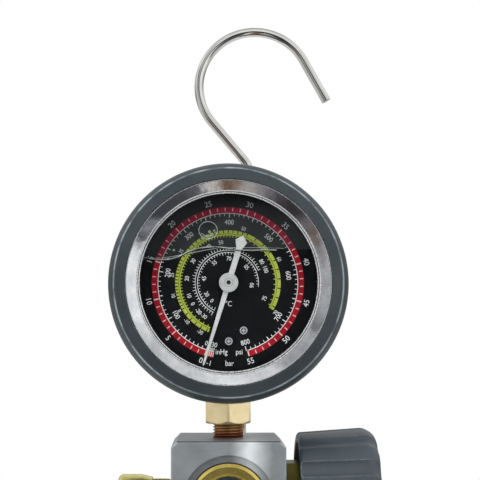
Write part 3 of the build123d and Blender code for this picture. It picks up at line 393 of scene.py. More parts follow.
# Each dial screw gets a painted highlight on its rim and a painted glint in its cross slot.
DIAL_SCREW_PLACES = ((4.9, -15.5), (0.1, -19.0))     # across and up from the dial's centre
screw_x, _, screw_z = screw_black.position()
painted_glints = 0.0
for across, upward in DIAL_SCREW_PLACES:
    aside = screw_black.math("ABSOLUTE", screw_black.math("SUBTRACT", screw_x, across))
    above = screw_black.math("ABSOLUTE", screw_black.math("SUBTRACT", screw_z, GAUGE_HEIGHT + upward))
    reach = screw_black.distance(aside, above)
    rim = screw_black.between(reach, (0.88, 0.96), (1.14, 1.20))
    slot = screw_black.span(screw_black.math("MINIMUM", aside, above), 0.13, 0.19, 1.0, 0.0)
    slot = screw_black.times(slot, screw_black.span(reach, 0.60, 0.70, 1.0, 0.0))
    painted_glints = screw_black.math("MAXIMUM", painted_glints, screw_black.math("MAXIMUM", rim, slot))
screw_black.set(Base_Color=screw_black.mix(painted_glints, screw_black.base(), srgb(214, 214, 216)))
movement = finish("movement_brass", srgb(196, 168, 92), srgb(220, 194, 118), 4.0, (0.26, 0.42), 1.0,
                  grain=0.15, relief=0.004)
bronze = finish("tube_bronze", srgb(176, 128, 84), srgb(202, 152, 104), 5.0, (0.24, 0.40), 1.0,
                grain=0.2, relief=0.004)

clothe(aluminium, "manifold_block")
clothe(brass, "service_port", "side_port")
clothe(cap_brass, "side_cap")
clothe(bonnet_brass, "valve_bonnet")
clothe(ring_brass, "sight_ring", "gauge_socket")
clothe(steel, "valve_stem")
clothe(case_steel, "gauge_case", "hook_washers")
clothe(chrome, "gauge_bezel")
clothe(nickel, "hanging_hook")
clothe(fastener, "hook_screw", "knob_screw", "movement_screws")
clothe(screw_black, "dial_screws")
clothe(boot, "gauge_boot")
clothe(knob, "valve_knob")
clothe(seal, "side_cap_seal", "sight_gasket", "valve_packing", "lens_gasket")
clothe(plug, "fill_plug")
clothe(polymer, "valve_disc")
clothe(dial_black, "gauge_dial")
clothe(pointer_grey, "pointer")
clothe(dark_steel, "pinion_shaft")
clothe(movement, "movement_back_plate", "movement_front_plate", "movement_pillars",
       "sector_gear", "tube_link")
clothe(bronze, "bourdon_tube", "tube_tip")


def glass(name, tint, rough):
    """Clear glass that lets the lamps light what is behind it."""
    shader = Shader(name)
    smear = shader.noise(5.0, detail=3.0)
    shader.set(Transmission_Weight=1.0, IOR=1.5)
    shader.set(Base_Color=shader.mix(shader.span(smear, 0.3, 0.7), tint, (0.97, 0.98, 0.98, 1.0)))
    shader.set(Roughness=shader.span(smear, 0.45, 0.8, 0.0, rough))
    path = shader.node("ShaderNodeLightPath")
    clear = shader.node("ShaderNodeBsdfTransparent")
    clear.inputs[0].default_value = tint
    shader.show(shader.blend(path.outputs["Is Shadow Ray"], shader.bsdf.outputs[0], clear.outputs[0]))
    return shader


lens_glass = glass("lens_glass", (0.95, 0.97, 0.97, 1.0), 0.02)
sight_glass = glass("sight_glass", (0.80, 0.86, 0.90, 1.0), 0.03)
clothe(lens_glass, "gauge_lens")
clothe(sight_glass, "sight_glass")


# ------------------------------------------------------------------ smooth shading of the CAD meshes
def smooth_group(angle):
    """Geometry nodes that weld a mesh and shade it smooth up to an edge angle."""
    group = bpy.data.node_groups.new("smooth_by_angle", "GeometryNodeTree")
    group.interface.new_socket("Geometry", in_out="INPUT", socket_type="NodeSocketGeometry")
    group.interface.new_socket("Geometry", in_out="OUTPUT", socket_type="NodeSocketGeometry")
    start = group.nodes.new("NodeGroupInput")
    end = group.nodes.new("NodeGroupOutput")
    weld = group.nodes.new("GeometryNodeMergeByDistance")
    weld.inputs["Distance"].default_value = 1e-6
    faces = group.nodes.new("GeometryNodeSetShadeSmooth")
    creases = group.nodes.new("GeometryNodeSetShadeSmooth")
    creases.domain = "EDGE"
    creases.inputs["Shade Smooth"].default_value = False
    bend = group.nodes.new("GeometryNodeInputMeshEdgeAngle")
    compare = group.nodes.new("FunctionNodeCompare")
    compare.data_type = "FLOAT"
    compare.operation = "GREATER_THAN"
    compare.inputs[1].default_value = angle
    group.links.new(start.outputs[0], weld.inputs["Geometry"])
    group.links.new(weld.outputs[0], faces.inputs["Geometry"])
    group.links.new(faces.outputs[0], creases.inputs["Geometry"])
    group.links.new(bend.outputs["Unsigned Angle"], compare.inputs[0])
    group.links.new(compare.outputs[0], creases.inputs["Selection"])
    group.links.new(creases.outputs[0], end.inputs[0])
    return group


smooth_by_angle = smooth_group(radians(30))
for node in nodes.values():
    modifier = node.modifiers.new("smooth", "NODES")
    modifier.node_group = smooth_by_angle


# ------------------------------------------------------------------ mesh helpers
def piece(name, mesh, shader, body):
    """A new piece of the model, placed in the frame and riding on a body."""
    made = bpy.data.objects.new(name, mesh)
    scene.collection.objects.link(made)
    made.data.materials.clear()
    made.data.materials.append(shader.material)
    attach(made, body)
    return made


def evaluated(holder):
    return holder.evaluated_get(bpy.context.evaluated_depsgraph_get())


def close_up(builder, name):
    """Turns a bmesh in millimetres into a mesh in metres, with its normals outwards."""
    bmesh.ops.remove_doubles(builder, verts=builder.verts, dist=1e-5)
    bmesh.ops.dissolve_degenerate(builder, dist=1e-6, edges=builder.edges)
    bmesh.ops.recalc_face_normals(builder, faces=builder.faces)
    bmesh.ops.scale(builder, vec=(MM, MM, MM), verts=builder.verts)
    mesh = bpy.data.meshes.new(name)
    builder.to_mesh(mesh)
    builder.free()
    return mesh


def turned(name, rings, place, steps, sharp=32):
    """Closed turned form; a ring is a function from the angle to (distance along the axis, radius)."""
    builder = bmesh.new()
    loops = []
    for ring in rings:
        loop = []
        for step in range(steps):
            angle = 2 * pi * step / steps
            along, radius = ring(angle)
            corner = Vector((radius * cos(angle), radius * sin(angle), along))
            loop.append(builder.verts.new(place @ corner))
        loops.append(loop)
    for first, second in zip(loops, loops[1:] + loops[:1]):
        for step in range(steps):
            after = (step + 1) % steps
            builder.faces.new((first[step], first[after], second[after], second[step]))
    mesh = close_up(builder, name)
    mesh.shade_smooth()
    mesh.set_sharp_from_angle(angle=radians(sharp))
    return mesh


def circle(along, radius):
    return lambda angle: (along, radius)


def thread(start, end, crest, pitch, taper=0.0, lead_in=0.0, run_out=0.0, depth_share=0.6134):
    """Rings of a helical 60 degree thread between two distances along the axis."""
    depth = depth_share * pitch
    profile = [(0.0, 0.0), (0.125, 0.0), (0.25, 0.0), (0.40, 0.5),
               (0.5625, 1.0), (0.625, 1.0), (0.6875, 1.0), (0.84, 0.5)]
    rings = []
    for turn in range(-1, ceil((end - start) / pitch) + 1):
        for phase, height in profile:
            def ring(angle, turn=turn, phase=phase, height=height):
                along = start + (turn + phase + angle / (2 * pi)) * pitch
                along = min(max(along, start), end)
                share = height
                if lead_in:
                    share = min(share, (along - start) / lead_in)
                if run_out:
                    share = max(min(share, (end - along) / run_out), 0.0)
                return along, crest + taper * (along - start) - depth * (1 - share)
            rings.append(ring)
    return rings


def hexagon(start, end, across, chamfer_start, chamfer_end):
    """Rings of a hexagon whose corners are turned off at either end."""
    corner = across / 2 / cos(pi / 6)
    chamfer_radius = across / 2 * 0.97
    rise = corner - chamfer_radius

    def ring(along, limit):
        def at(angle):
            flat = across / 2 / cos((angle + pi / 6) % (pi / 3) - pi / 6)
            return along, min(flat, limit)
        return at

    rings = []
    shares = (0.0, 0.15, 0.3, 0.45, 0.6, 0.75, 0.9, 1.0)
    if chamfer_start:
        rings += [ring(start + chamfer_start * share, chamfer_radius + rise * share)
                  for share in shares]
    else:
        rings.append(ring(start, corner))
    if chamfer_end:
        rings += [ring(end - chamfer_end * share, chamfer_radius + rise * share)
                  for share in reversed(shares)]
    else:
        rings.append(ring(end, corner))
    return rings


def rectangle(along, width, depth):
    """A ring in the shape of a rectangle."""
    tiny = 1e-6

    def at(angle):
        to_side = width / 2 / max(abs(cos(angle)), tiny)
        to_front = depth / 2 / max(abs(sin(angle)), tiny)
        return along, min(to_side, to_front)
    return at


# ------------------------------------------------------------------ threaded brass
# Both ports are 7/16-20 UNF with a 45 degree flare cone.
PORT_PITCH, PORT_CREST, PORT_BORE = 1.27, 5.55, 2.4
CONE_LENGTH, CONE_TIP_RADIUS = 2.65, 2.9
SHANK_RADIUS = 4.85          # the end inside the block
PORT_STEPS = 96
up = Matrix.Identity(4)
down = Matrix.Rotation(pi, 4, "X")
side_low, side_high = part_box("side_port")
side = Matrix.Translation((0, 0, (side_low.z + side_high.z) / 2 / MM)) @ Matrix.Rotation(-pi / 2, 4, "Y")


def port_rings(root, start, end, lead_in):
    """Rings of the cone and the thread; `root` is where the cone meets the thread."""
    tip = root + CONE_LENGTH
    rings = [circle(tip, PORT_BORE), circle(tip, CONE_TIP_RADIUS), circle(root, PORT_CREST)]
    return rings + list(reversed(thread(start, end, PORT_CREST, PORT_PITCH, run_out=0.5, lead_in=lead_in)))


# The service port: distances run down from the frame's origin, so what lies above it is negative.
GROOVE_RADIUS, HEX_TOP, HEX_FACE, HEX_ACROSS = 4.7, -16.0, -11.5, 14.0
service_rings = port_rings(0, -10.0, 0.0, 1.4)
service_rings += [circle(-10.2, GROOVE_RADIUS), circle(HEX_FACE, GROOVE_RADIUS), circle(HEX_FACE, 6.4)]
service_rings += list(reversed(hexagon(HEX_TOP, HEX_FACE, HEX_ACROSS, 0.0, 0.75)))
service_rings += [circle(HEX_TOP, SHANK_RADIUS), circle(-25.0, SHANK_RADIUS), circle(-25.0, PORT_BORE)]
service_mesh = turned("service_port_threaded", service_rings, down, PORT_STEPS)
service = piece("service_port_threaded", service_mesh, brass, "manifold")
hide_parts("service_port")

BLOCK_SIDE = 18.3
side_inner = -side_high.x / MM
side_rings = port_rings(31.5, 18.5, 31.5, 1.0)
side_rings += [circle(BLOCK_SIDE, SHANK_RADIUS), circle(side_inner, SHANK_RADIUS)]
side_rings += [circle(side_inner, PORT_BORE)]
side_mesh = turned("side_port_threaded", side_rings, side, PORT_STEPS)
side_piece = piece("side_port_threaded", side_mesh, brass, "manifold")
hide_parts("side_port")

# The gauge's stem: a 1/8 in NPT thread under a hexagon, and a tang for the Bourdon tube above.
STEM_CREST, STEM_TAPER, STEM_DEPTH_SHARE, STEM_PITCH = 4.72, 1 / 32, 0.64, 0.94
STEM_HEX_BOTTOM, STEM_HEX_TOP, STEM_HEX_ACROSS = 58.9, 69.9, 14.8
STEM_NECK_RADIUS, STEM_NECK_TOP, STEM_BORE = 6.0, 75.2, 1.5
TANG_WIDTH, TANG_DEPTH = 14.0, 7.0
socket_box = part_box("gauge_socket")
socket_bottom, socket_top = (corner.z / MM for corner in socket_box)
stem_brass = Shader("stem_brass")
stem_tone = stem_brass.span(stem_brass.noise(3.0, detail=4.0), 0.3, 0.7)
stem_fine = stem_brass.noise(0.10, (1, 1, 6), detail=3.0)
stem_colour = stem_brass.mix(stem_tone, srgb(244, 220, 166), srgb(254, 236, 190))
stem_x, stem_y, stem_z = stem_brass.position()
sealant_and_root_shade = stem_brass.mix(stem_brass.span(stem_z, 54.6, 57.0), srgb(134, 36, 38), srgb(232, 178, 112))
crest_top = STEM_CREST + STEM_TAPER * (STEM_HEX_BOTTOM - socket_bottom)
crest_radius = stem_brass.span(stem_z, socket_bottom, STEM_HEX_BOTTOM, STEM_CREST, crest_top)
# Painted shade: the thread is darkened towards its roots, by depth below the crest.
groove = stem_brass.math("SUBTRACT", crest_radius, stem_brass.distance(stem_x, stem_y))
sealant_and_root_shade = stem_brass.mix(stem_brass.span(groove, 0.12, 0.52, 0.0, 0.80), sealant_and_root_shade, srgb(58, 22, 14))
on_thread = stem_brass.span(stem_z, STEM_HEX_BOTTOM - 0.15, STEM_HEX_BOTTOM + 0.05, 1.0, 0.0)
stem_brass.set(Base_Color=stem_brass.mix(on_thread, stem_colour, sealant_and_root_shade), Metallic=0.72)
stem_brass.set(Roughness=stem_brass.span(stem_fine, 0.25, 0.75, 0.16, 0.28))
stem_brass.bump(stem_fine, 0.0015)

stem_rings = [circle(socket_bottom, STEM_BORE), circle(socket_bottom, 4.4)]
stem_rings += thread(socket_bottom, STEM_HEX_BOTTOM, STEM_CREST, STEM_PITCH, taper=STEM_TAPER,
                     depth_share=STEM_DEPTH_SHARE, lead_in=0.5)
stem_rings += hexagon(STEM_HEX_BOTTOM, STEM_HEX_TOP, STEM_HEX_ACROSS, 1.1, 0.5)
stem_rings += [circle(STEM_HEX_TOP, STEM_NECK_RADIUS), circle(STEM_NECK_TOP, STEM_NECK_RADIUS)]
stem_rings += [rectangle(height, TANG_WIDTH, TANG_DEPTH) for height in (STEM_NECK_TOP + 0.1, socket_top)]
stem_rings += [circle(socket_top, STEM_BORE)]
stem_mesh = turned("gauge_stem_threaded", stem_rings, up, 144)
stem = piece("gauge_stem_threaded", stem_mesh, stem_brass, "manifold")
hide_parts("gauge_socket")

# ------------------------------------------------------------------ lines round the bezel and the window
toward_eye = Matrix.Translation((0, 0, GAUGE_HEIGHT)) @ Matrix.Rotation(pi / 2, 4, "X")
lip_polish = finish("lip_polish", srgb(206, 207, 208), srgb(232, 233, 233), 4.0, (0.20, 0.32), 0.7,
                    grain=0.3)
# Name, radius of the ring, radius of the bead, and distance in front of the port axis.
LIP_BEADS = (("bezel_lip_inner", 28.90, 0.22, 17.30), ("bezel_lip_outer", 29.58, 0.26, 17.38),
             ("bezel_rim_edge", 33.05, 0.24, 18.42))
for name, radius, bead_radius, depth in LIP_BEADS:
    lip_rings = [circle(depth + bead_radius * sin(radians(turn)), radius + bead_radius * cos(radians(turn)))
                 for turn in range(0, 360, 30)]
    lip_mesh = turned(name, lip_rings, toward_eye, 180, sharp=80)
    piece(name, lip_mesh, lip_polish, "manifold")

# ------------------------------------------------------------------ dark joint round the sight ring
ring_low, ring_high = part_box("sight_ring")
ring_height = (ring_low.z + ring_high.z) / 2 / MM
ring_centre = Matrix.Translation((0, 0, ring_height)) @ Matrix.Rotation(pi / 2, 4, "X")
ring_radius = (ring_high.x - ring_low.x) / 2 / MM
SPOT_FACE = 18.2             # distance of the machined face from the port axis
joint_rings = [circle(SPOT_FACE + 0.18 * sin(radians(turn)), ring_radius + 0.12 + 0.24 * cos(radians(turn)))
               for turn in range(0, 360, 45)]
joint_mesh = turned("sight_ring_joint", joint_rings, ring_centre, 120, sharp=80)
piece("sight_ring_joint", joint_mesh, seal, "manifold")

# ------------------------------------------------------------------ dial print
white_print = printed("print_white", (srgb(226, 228, 226), srgb(242, 244, 242)), srgb(168, 172, 170))
red_print = printed("print_red", (srgb(148, 18, 32), srgb(172, 28, 42)), srgb(132, 38, 58))
green_print = printed("print_green", (srgb(160, 172, 62), srgb(178, 190, 80)), srgb(142, 152, 70))
black_print = printed("print_black", (srgb(12, 12, 12), srgb(20, 20, 18)), srgb(44, 46, 40))
pale_print = printed("print_pale", (srgb(238, 190, 188), srgb(246, 206, 202)), srgb(206, 150, 158))

BAR_ANGLE = 5.93           # degrees per bar, clockwise
VACUUM_ANGLE = 11.7        # where -1 bar is, clockwise from straight down
PSI_PER_BAR = 14.5038
PRINT_SHIFT = -0.2         # the print sits a little left of the dial's centre
INK_THICKNESS = 0.02
BAND_STEP = 1.5


def bar_angle(bar):
    return VACUUM_ANGLE + (bar + 1) * BAR_ANGLE


class Print:
    """Flat ink shapes on the dial, a few hundredths of a millimetre thick."""

    def __init__(self, lift):
        self.builder = bmesh.new()
        self.back = DIAL_FRONT - lift
        self.front = self.back - INK_THICKNESS

    def solid(self, outline):
        """A prism from an outline of (across, up) points from the dial's centre."""
        back = [self.builder.verts.new((x, self.back, GAUGE_HEIGHT + z)) for x, z in outline]
        front = [self.builder.verts.new((x, self.front, GAUGE_HEIGHT + z)) for x, z in outline]
        self.builder.faces.new(back)
        self.builder.faces.new(front[::-1])
        count = len(outline)
        for index in range(count):
            after = (index + 1) % count
            self.builder.faces.new((back[index], front[index], front[after], back[after]))

    def band(self, inner, outer, start, end):
        """Part of a ring, from one clockwise angle to another, in steps of about BAND_STEP degrees."""
        count = ceil((end - start) / BAND_STEP)
        angles = [radians(start + (end - start) * index / count) for index in range(count + 1)]
        for first, second in zip(angles, angles[1:]):
            corners = [(inner, first), (outer, first), (outer, second), (inner, second)]
            self.solid([(-radius * sin(angle), -radius * cos(angle)) for radius, angle in corners])

    def tick(self, angle, inner, outer, width):
        turn = radians(angle)
        across = (cos(turn) * width / 2, -sin(turn) * width / 2)
        points = []
        for radius, sign in ((inner, -1), (inner, 1), (outer, 1), (outer, -1)):
            points.append((-radius * sin(turn) + sign * across[0], -radius * cos(turn) + sign * across[1]))
        self.solid(points)

    def text(self, words, radius, angle, height, squeeze, upright=False, across=0.0, upward=0.0):
        """Lettering centred on a clockwise angle; its top points outwards on the upper half of the dial."""
        curve = bpy.data.curves.new("words", "FONT")
        curve.body = words
        curve.size = height / 0.7
        curve.align_x = "CENTER"
        curve.align_y = "CENTER"
        curve.resolution_u = 3
        curve.extrude = (self.back - self.front) / 2
        holder = bpy.data.objects.new("words", curve)
        scene.collection.objects.link(holder)
        bpy.context.view_layer.update()
        lettering = bpy.data.meshes.new_from_object(evaluated(holder))
        turn = radians(angle)
        if upright:
            spin, middle = 0.0, (across, upward)
        else:
            spin = pi - turn if 90 < angle % 360 < 270 else -turn
            middle = (-radius * sin(turn), -radius * cos(turn))
        stand = Matrix.Translation((middle[0], (self.back + self.front) / 2, GAUGE_HEIGHT + middle[1]))
        stand = stand @ Matrix.Rotation(-spin, 4, "Y") @ Matrix.Rotation(pi / 2, 4, "X")
        lettering.transform(stand @ Matrix.Diagonal((squeeze, 1, 1, 1)))
        self.builder.from_mesh(lettering)
        bpy.data.objects.remove(holder)
        bpy.data.curves.remove(curve)
        bpy.data.meshes.remove(lettering)

    def done(self, name, shader):
        bmesh.ops.translate(self.builder, vec=(PRINT_SHIFT, 0, 0), verts=self.builder.verts)
        bmesh.ops.scale(self.builder, vec=(MM, MM, MM), verts=self.builder.verts)
        mesh = bpy.data.meshes.new(name)
        self.builder.to_mesh(mesh)
        self.builder.free()
        return piece(name, mesh, shader, "manifold")


RED_INNER, RED_OUTER = 22.95, 24.85
red = Print(0)
red.band(RED_INNER, RED_OUTER, bar_angle(-1), bar_angle(55))
red.done("dial_red_band", red_print)

pale = Print(INK_THICKNESS)
for bar in range(0, 56):
    if bar % 5 == 0:
        pale.tick(bar_angle(bar), RED_INNER + 0.15, RED_OUTER - 0.1, 0.38)
    else:
        pale.tick(bar_angle(bar), RED_OUTER - 1.30, RED_OUTER - 0.15, 0.28)
for quarter in (-1.0, -0.75, -0.5, -0.25):
    pale.tick(bar_angle(quarter), RED_INNER + 0.15, RED_OUTER - 0.3, 0.34)
pale.done("dial_bar_ticks", pale_print)

GREEN_INNER, GREEN_OUTER = 15.55, 17.25
GREEN_START, GREEN_END = 21.5, 301.0       # clockwise angles
green = Print(0)
green.band(GREEN_INNER, GREEN_OUTER, GREEN_START, GREEN_END)
angle = 25.0
while angle < 300:
    green.tick(angle, 14.95, 15.6, 0.26)
    angle += 3.8 if 55 < angle < 200 else 6.4
green.done("dial_green_band", green_print)

black = Print(INK_THICKNESS)
black.band(15.98, 16.14, GREEN_START, GREEN_END)
angle = 24.0
while angle < 300:
    black.tick(angle, 16.35, GREEN_OUTER, 0.34)
    if angle < 56:
        angle += 7.2
    elif angle < 112:
        angle += 3.7
    elif angle < 200:
        angle += 5.4
    else:
        angle += 10.6
black.done("dial_green_ticks", black_print)

ink = Print(0)
PSI_TICKS = RED_INNER - 0.1                # outer end of the ticks inside the red band
ink.band(RED_INNER - 0.22, RED_INNER, bar_angle(-1), bar_angle(55))
for psi in range(0, 801, 10):
    length = 1.45 if psi % 100 == 0 else (1.2 if psi % 50 == 0 else 0.9)
    ink.tick(bar_angle(psi / PSI_PER_BAR), PSI_TICKS - length, PSI_TICKS, 0.26 if psi % 50 == 0 else 0.19)
for inches in range(5, 31, 5):
    ink.tick(bar_angle(-inches / 30), 21.7, PSI_TICKS, 0.17)

BAR_NUMBERS, PSI_NUMBERS, LAST_PSI_NUMBER, VACUUM_NUMBERS = 26.5, 19.85, 20.2, 20.8     # radii
for bar in range(5, 56, 5):
    ink.text(str(bar), BAR_NUMBERS, bar_angle(bar), 1.80, 0.95)
ink.text("0", BAR_NUMBERS + 0.2, 19.2, 1.80, 0.95)
ink.text("-1", BAR_NUMBERS + 0.3, 13.2, 1.70, 0.90)
for psi in range(100, 800, 100):
    ink.text(str(psi), PSI_NUMBERS, bar_angle(psi / PSI_PER_BAR), 1.62, 0.86)
ink.text("800", LAST_PSI_NUMBER, bar_angle(800 / PSI_PER_BAR) - 1.0, 1.62, 0.86)
ink.text("30", VACUUM_NUMBERS - 0.1, 12.3, 1.55, 0.86)
ink.text("0", VACUUM_NUMBERS + 0.1, 19.6, 1.55, 0.86)
for words, across, upward in (("inHg", -2.1, -22.5), ("psi", 3.7, -22.5), ("bar", 0.5, -26.2)):
    ink.text(words, 0, 0, 1.72, 0.86, True, across, upward)
ink.text("°C", 0, 0, 1.7, 0.86, True, 0.2, -6.9)

# Temperatures beside the green band, each at its clockwise angle.
OUTSIDE_GREEN = [(-30, 29.5), (-10, 47), (0, 60), (10, 77), (25, 98), (35, 124), (50, 196), (60, 245),
                 (70, 302)]
for number, angle in OUTSIDE_GREEN:
    ink.text(str(number), GREEN_OUTER + 1.15, angle, 1.25, 0.86)
INSIDE_GREEN = [(-30, 36), (-20, 46), (0, 59), (10, 72), (20, 96), (30, 122), (40, 152), (50, 170),
                (80, 238), (100, 250), (75, 293)]
for number, angle in INSIDE_GREEN:
    ink.text(str(number), 13.4 if angle < 200 else 13.0, angle, 1.35, 0.86)

# The inner scale: two hair lines, ticks outside and inside them, and their numbers.
SCALE_START = 26.0
ink.band(10.62, 10.76, SCALE_START, 248.0)
ink.band(9.90, 10.06, SCALE_START, 277.0)
for index in range(45):
    ink.tick(SCALE_START + 1 + index * 5.0, 10.7, 11.85 if index % 5 == 0 else 11.5, 0.15)
for index in range(44):
    ink.tick(SCALE_START + 1 + index * 5.7, 9.0 if index % 5 == 0 else 9.3, 10.0, 0.15)
for number, angle in [(0, 42), (20, 62), (45, 100), (55, 146), (70, 182), (85, 230), (90, 276)]:
    ink.text(str(number), 7.9, angle, 1.35, 0.86)
ink.done("dial_white_print", white_print)

# ------------------------------------------------------------------ fill line of the glycerine
def meniscus(name, dark, light, cover):
    """The bent edge of the glycerine: a streak that covers part of what is behind it; the pale streaks are
    a painted highlight, the dark ones painted shade.
    """
    shader = Shader(name)
    shader.set(Base_Color=shader.mix(shader.span(shader.noise(3.0), 0.3, 0.7), dark, light))
    shader.set(Specular_IOR_Level=0.2)
    shader.set(Alpha=shader.span(shader.noise(4.5, detail=3.0, shift=(3, 1, 7)), 0.30, 0.62, *cover))
    shader.set(Roughness=shader.span(shader.noise(1.0), 0.3, 0.7, 0.10, 0.25))
    return shader


meniscus_highlight = meniscus("fill_edge_painted_highlight", srgb(150, 156, 150), srgb(205, 210, 204), (0.25, 0.80))
meniscus_shade = meniscus("fill_edge_painted_shade", srgb(8, 8, 9), srgb(20, 20, 20), (0.45, 0.85))


def bead(name, points, radius, depth_centre, depth_radius, shader, closed=False):
    """A thin bead that follows (across, up) points from the dial's centre."""
    curve = bpy.data.curves.new(name, "CURVE")
    curve.dimensions = "3D"
    spline = curve.splines.new("NURBS")
    spline.points.add(len(points) - 1)
    for point, (across, upward) in zip(spline.points, points):
        point.co = (across * MM, upward * MM, 0.0, 1.0)
    spline.use_cyclic_u = closed
    spline.order_u = 3
    spline.use_endpoint_u = not closed
    spline.resolution_u = 10
    curve.bevel_depth = radius * MM
    curve.bevel_resolution = 3
    curve.use_fill_caps = True
    holder = bpy.data.objects.new(name, curve)
    scene.collection.objects.link(holder)
    bpy.context.view_layer.update()
    mesh = bpy.data.meshes.new_from_object(evaluated(holder))
    stand = Matrix.Translation((0, depth_centre * MM, GAUGE_HEIGHT * MM)) @ Matrix.Rotation(pi / 2, 4, "X")
    mesh.transform(stand @ Matrix.Diagonal((1, 1, depth_radius / radius, 1)))
    bpy.data.objects.remove(holder)
    bpy.data.curves.remove(curve)
    mesh.shade_smooth()
    return piece(name, mesh, shader, "manifold")


FRONT_LINE = [(-25.6, 7.6), (-22, 7.3), (-18.6, 7.5), (-15.5, 8.6), (-12, 10.6), (-8, 11.4), (-3, 11.6),
              (2, 10.6), (7, 10.4), (12, 10.6), (15.5, 10.5)]
BACK_LINE = [(-29.2, 8.3), (-25, 8.0), (-20, 8.3), (-15, 9.2), (-10, 10.2), (-4, 11.4), (2, 11.5),
             (9, 11.6), (14, 11.5), (18, 11.3)]
SHADE_LINE = [(across, upward - 0.34) for across, upward in FRONT_LINE]
# The fill line, bubble and droplets are thin beads carrying a painted highlight, with a painted shade line
# under the front.
bead("fill_line_front", FRONT_LINE, 0.15, LENS_BACK + 0.10, 0.08, meniscus_highlight)
bead("fill_line_shade", SHADE_LINE, 0.17, LENS_BACK + 0.09, 0.07, meniscus_shade)
bead("fill_line_back", BACK_LINE, 0.11, DIAL_FRONT - 0.10, 0.06, meniscus_highlight)


def round_points(centre, spread, step, squash=1.0):
    """Points of a circle, one every `step` degrees, flattened by `squash`."""
    turns = [radians(turn) for turn in range(0, 360, step)]
    return [(centre[0] + spread * cos(turn), centre[1] + squash * spread * sin(turn)) for turn in turns]


BUBBLE = (-6.7, 16.9)
for name, spread, shader in (("fill_bubble", 3.1, meniscus_highlight), ("fill_bubble_shade", 2.8, meniscus_shade)):
    bead(name, round_points(BUBBLE, spread, 30, 0.94), 0.12, LENS_BACK + 0.09, 0.08, shader, closed=True)
DROPLETS = [(-8.6, 15.4, 0.5), (-7.6, 14.9, 0.4), (-6.5, 14.8, 0.55), (-5.4, 15.3, 0.4), (-6.2, 16.4, 0.35),
            (-19.6, 7.6, 0.3), (-17.8, 10.4, 0.3), (-4.7, 16.8, 0.3)]
for index, (across, upward, spread) in enumerate(DROPLETS):
    outline = round_points((across, upward), spread, 60)
    bead(f"fill_droplet_{index + 1}", outline, 0.09, LENS_BACK + 0.07, 0.06, meniscus_highlight, closed=True)

# ------------------------------------------------------------------ floor, backdrop and light
FLOOR_HEIGHT = cad_box[0][2]
FLOOR_REACH = 6              # metres to each side
FLOOR_FADE = (90.0, 330.0)   # from the origin, where the camera starts and ends seeing plain white
floor_corners = [(x * FLOOR_REACH, y * FLOOR_REACH, 0) for x, y in ((-1, -1), (1, -1), (1, 1), (-1, 1))]
floor_mesh = bpy.data.meshes.new("floor")
floor_mesh.from_pydata(floor_corners, [], [(0, 1, 2, 3)])
floor = bpy.data.objects.new("floor", floor_mesh)
floor.location.z = FLOOR_HEIGHT
scene.collection.objects.link(floor)
floor.visible_glossy = False
floor.visible_transmission = False
paper = Shader("floor_paper")
grain = paper.noise(6.0, detail=3.0)
dull, clean = (0.86, 0.86, 0.86, 1.0), (0.90, 0.90, 0.90, 1.0)
paper.set(Base_Color=paper.mix(paper.span(grain, 0.3, 0.7), dull, clean))
paper.set(Roughness=0.8)
glow = paper.node("ShaderNodeEmission")
glow.inputs["Color"].default_value = (1, 1, 1, 1)
glow.inputs["Strength"].default_value = 1.0
light_path = paper.node("ShaderNodeLightPath")
reach = paper.node("ShaderNodeVectorMath", operation="LENGTH")
paper.link(paper.place(1.0), reach.inputs[0])
away = paper.span(reach.outputs["Value"], *FLOOR_FADE)
seen_white = paper.times(light_path.outputs["Is Camera Ray"], away)
paper.show(paper.blend(seen_white, paper.bsdf.outputs[0], glow.outputs[0]))
floor_mesh.materials.append(paper.material)

world = bpy.data.worlds.new("studio")
scene.world = world
world.use_nodes = True
sky = Tree(world.node_tree)
direction = sky.node("ShaderNodeTexCoord")
split = sky.node("ShaderNodeSeparateXYZ")
sky.link(direction.outputs["Generated"], split.inputs[0])
# Tones round the viewer's side of the room, from +X down, left and up again: what a conical bezel mirrors.
NEAR = [(0.000, (0.95, 0.96, 0.97)), (0.035, (0.95, 0.96, 0.97)), (0.058, (0.05, 0.05, 0.06)),
        (0.080, (0.32, 0.33, 0.36)), (0.105, (0.06, 0.06, 0.07)), (0.190, (0.09, 0.09, 0.10)),
        (0.208, (0.78, 0.77, 0.76)), (0.222, (0.60, 0.54, 0.49)), (0.234, (0.16, 0.09, 0.055)),
        (0.258, (0.20, 0.13, 0.09)), (0.276, (0.44, 0.41, 0.39)), (0.312, (0.26, 0.25, 0.26)),
        (0.336, (0.07, 0.06, 0.07)), (0.385, (0.04, 0.035, 0.04)), (0.412, (0.20, 0.18, 0.20)),
        (0.430, (0.15, 0.10, 0.075)), (0.455, (0.26, 0.24, 0.25)), (0.500, (0.46, 0.46, 0.48)),
        (0.560, (0.42, 0.42, 0.44)), (0.592, (0.16, 0.16, 0.17)), (0.612, (0.52, 0.52, 0.54)),
        (0.650, (0.34, 0.34, 0.35)), (0.690, (0.78, 0.78, 0.80)), (0.760, (0.92, 0.93, 0.95)),
        (0.830, (0.72, 0.73, 0.74)), (0.880, (0.62, 0.63, 0.64)), (0.920, (0.95, 0.96, 0.97)),
        (1.000, (0.95, 0.96, 0.97))]
facing = sky.times(split.outputs["Y"], -1.0)
around = sky.math("ARCTAN2", split.outputs["Z"], split.outputs["X"])
around = sky.times(around, 0.5 / pi)
around = sky.math("ADD", around, 1.0)
around = sky.math("FRACT", around)
walls = sky.ramp(sky.math("SUBTRACT", 1.0, around), [(where, (*tone, 1.0)) for where, tone in NEAR])
level = sky.math("ADD", sky.times(split.outputs["Z"], 0.5), 0.5)
ROOM = [(0.0, 0.40), (0.30, 0.42), (0.44, 0.76), (0.58, 0.84), (0.72, 0.95), (0.88, 0.95), (0.96, 0.55),
        (1.0, 0.42)]
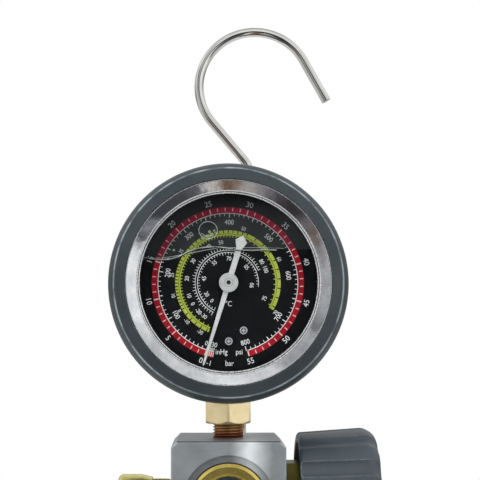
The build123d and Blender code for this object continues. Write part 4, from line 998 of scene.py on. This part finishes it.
REAR = [(0.0, 0.80), (0.40, 0.55), (0.52, 0.24), (0.62, 0.55), (0.80, 0.8), (1.0, 0.45)]
room = sky.ramp(level, ROOM)
rear = sky.ramp(level, REAR)
# Rear tones behind the object, room tones at its sides, near tones in front, a dark viewer straight ahead.
studio = sky.mix(sky.ramp(facing, [(0.30, 0.0), (0.62, 1.0)]), room, walls)
studio = sky.mix(sky.ramp(facing, [(0.0, 1.0), (0.34, 0.0)]), studio, rear)
studio = sky.mix(sky.ramp(facing, [(0.955, 0.0), (0.978, 1.0)]), studio, (0.012, 0.013, 0.015, 1.0))

# Mirrors and glass see those tones, the camera sees white, and a plain pale light falls on the object.
rays = sky.node("ShaderNodeLightPath")
for_glossy = sky.node("ShaderNodeBackground")
sky.link(studio, for_glossy.inputs["Color"])
for_eye = sky.node("ShaderNodeBackground")
for_eye.inputs["Color"].default_value = (1, 1, 1, 1)
for_light = sky.node("ShaderNodeBackground")
for_light.inputs["Color"].default_value = (0.96, 0.98, 1.0, 1)
for_light.inputs["Strength"].default_value = 0.55
behind = sky.ramp(facing, [(0.0, 1.0), (0.05, 0.0)])
through = sky.times(rays.outputs["Is Transmission Ray"], behind)
eye = sky.math("MAXIMUM", rays.outputs["Is Camera Ray"], through)
mirrored = sky.math("MAXIMUM", rays.outputs["Is Glossy Ray"], rays.outputs["Is Transmission Ray"])
unseen = sky.blend(mirrored, for_light.outputs[0], for_glossy.outputs[0])
sky_output = sky.node("ShaderNodeOutputWorld")
sky.link(sky.blend(eye, unseen, for_eye.outputs[0]), sky_output.inputs[0])


def soft_box(name, place, target, size, power):
    """A large soft lamp aimed at a point of the object."""
    lamp = bpy.data.lights.new(name, "AREA")
    lamp.shape = "RECTANGLE"
    lamp.size, lamp.size_y = size
    lamp.energy = power
    holder = bpy.data.objects.new(name, lamp)
    holder.location = place
    holder.rotation_euler = (Vector(target) - Vector(place)).to_track_quat("-Z", "Y").to_euler()
    holder.visible_glossy = False
    scene.collection.objects.link(holder)


middle = (0, 0, 0.1)         # metres, as in the three lamps' places and sizes; powers are in watts
soft_box("lamp_left", (-0.75, -0.45, 0.45), middle, (0.5, 0.6), 7.0)
soft_box("lamp_top", (0.1, -0.25, 0.95), middle, (0.7, 0.5), 8.0)
soft_box("lamp_right", (0.85, -0.40, 0.25), middle, (0.35, 0.7), 4.0)

scene.view_settings.view_transform = "Standard"
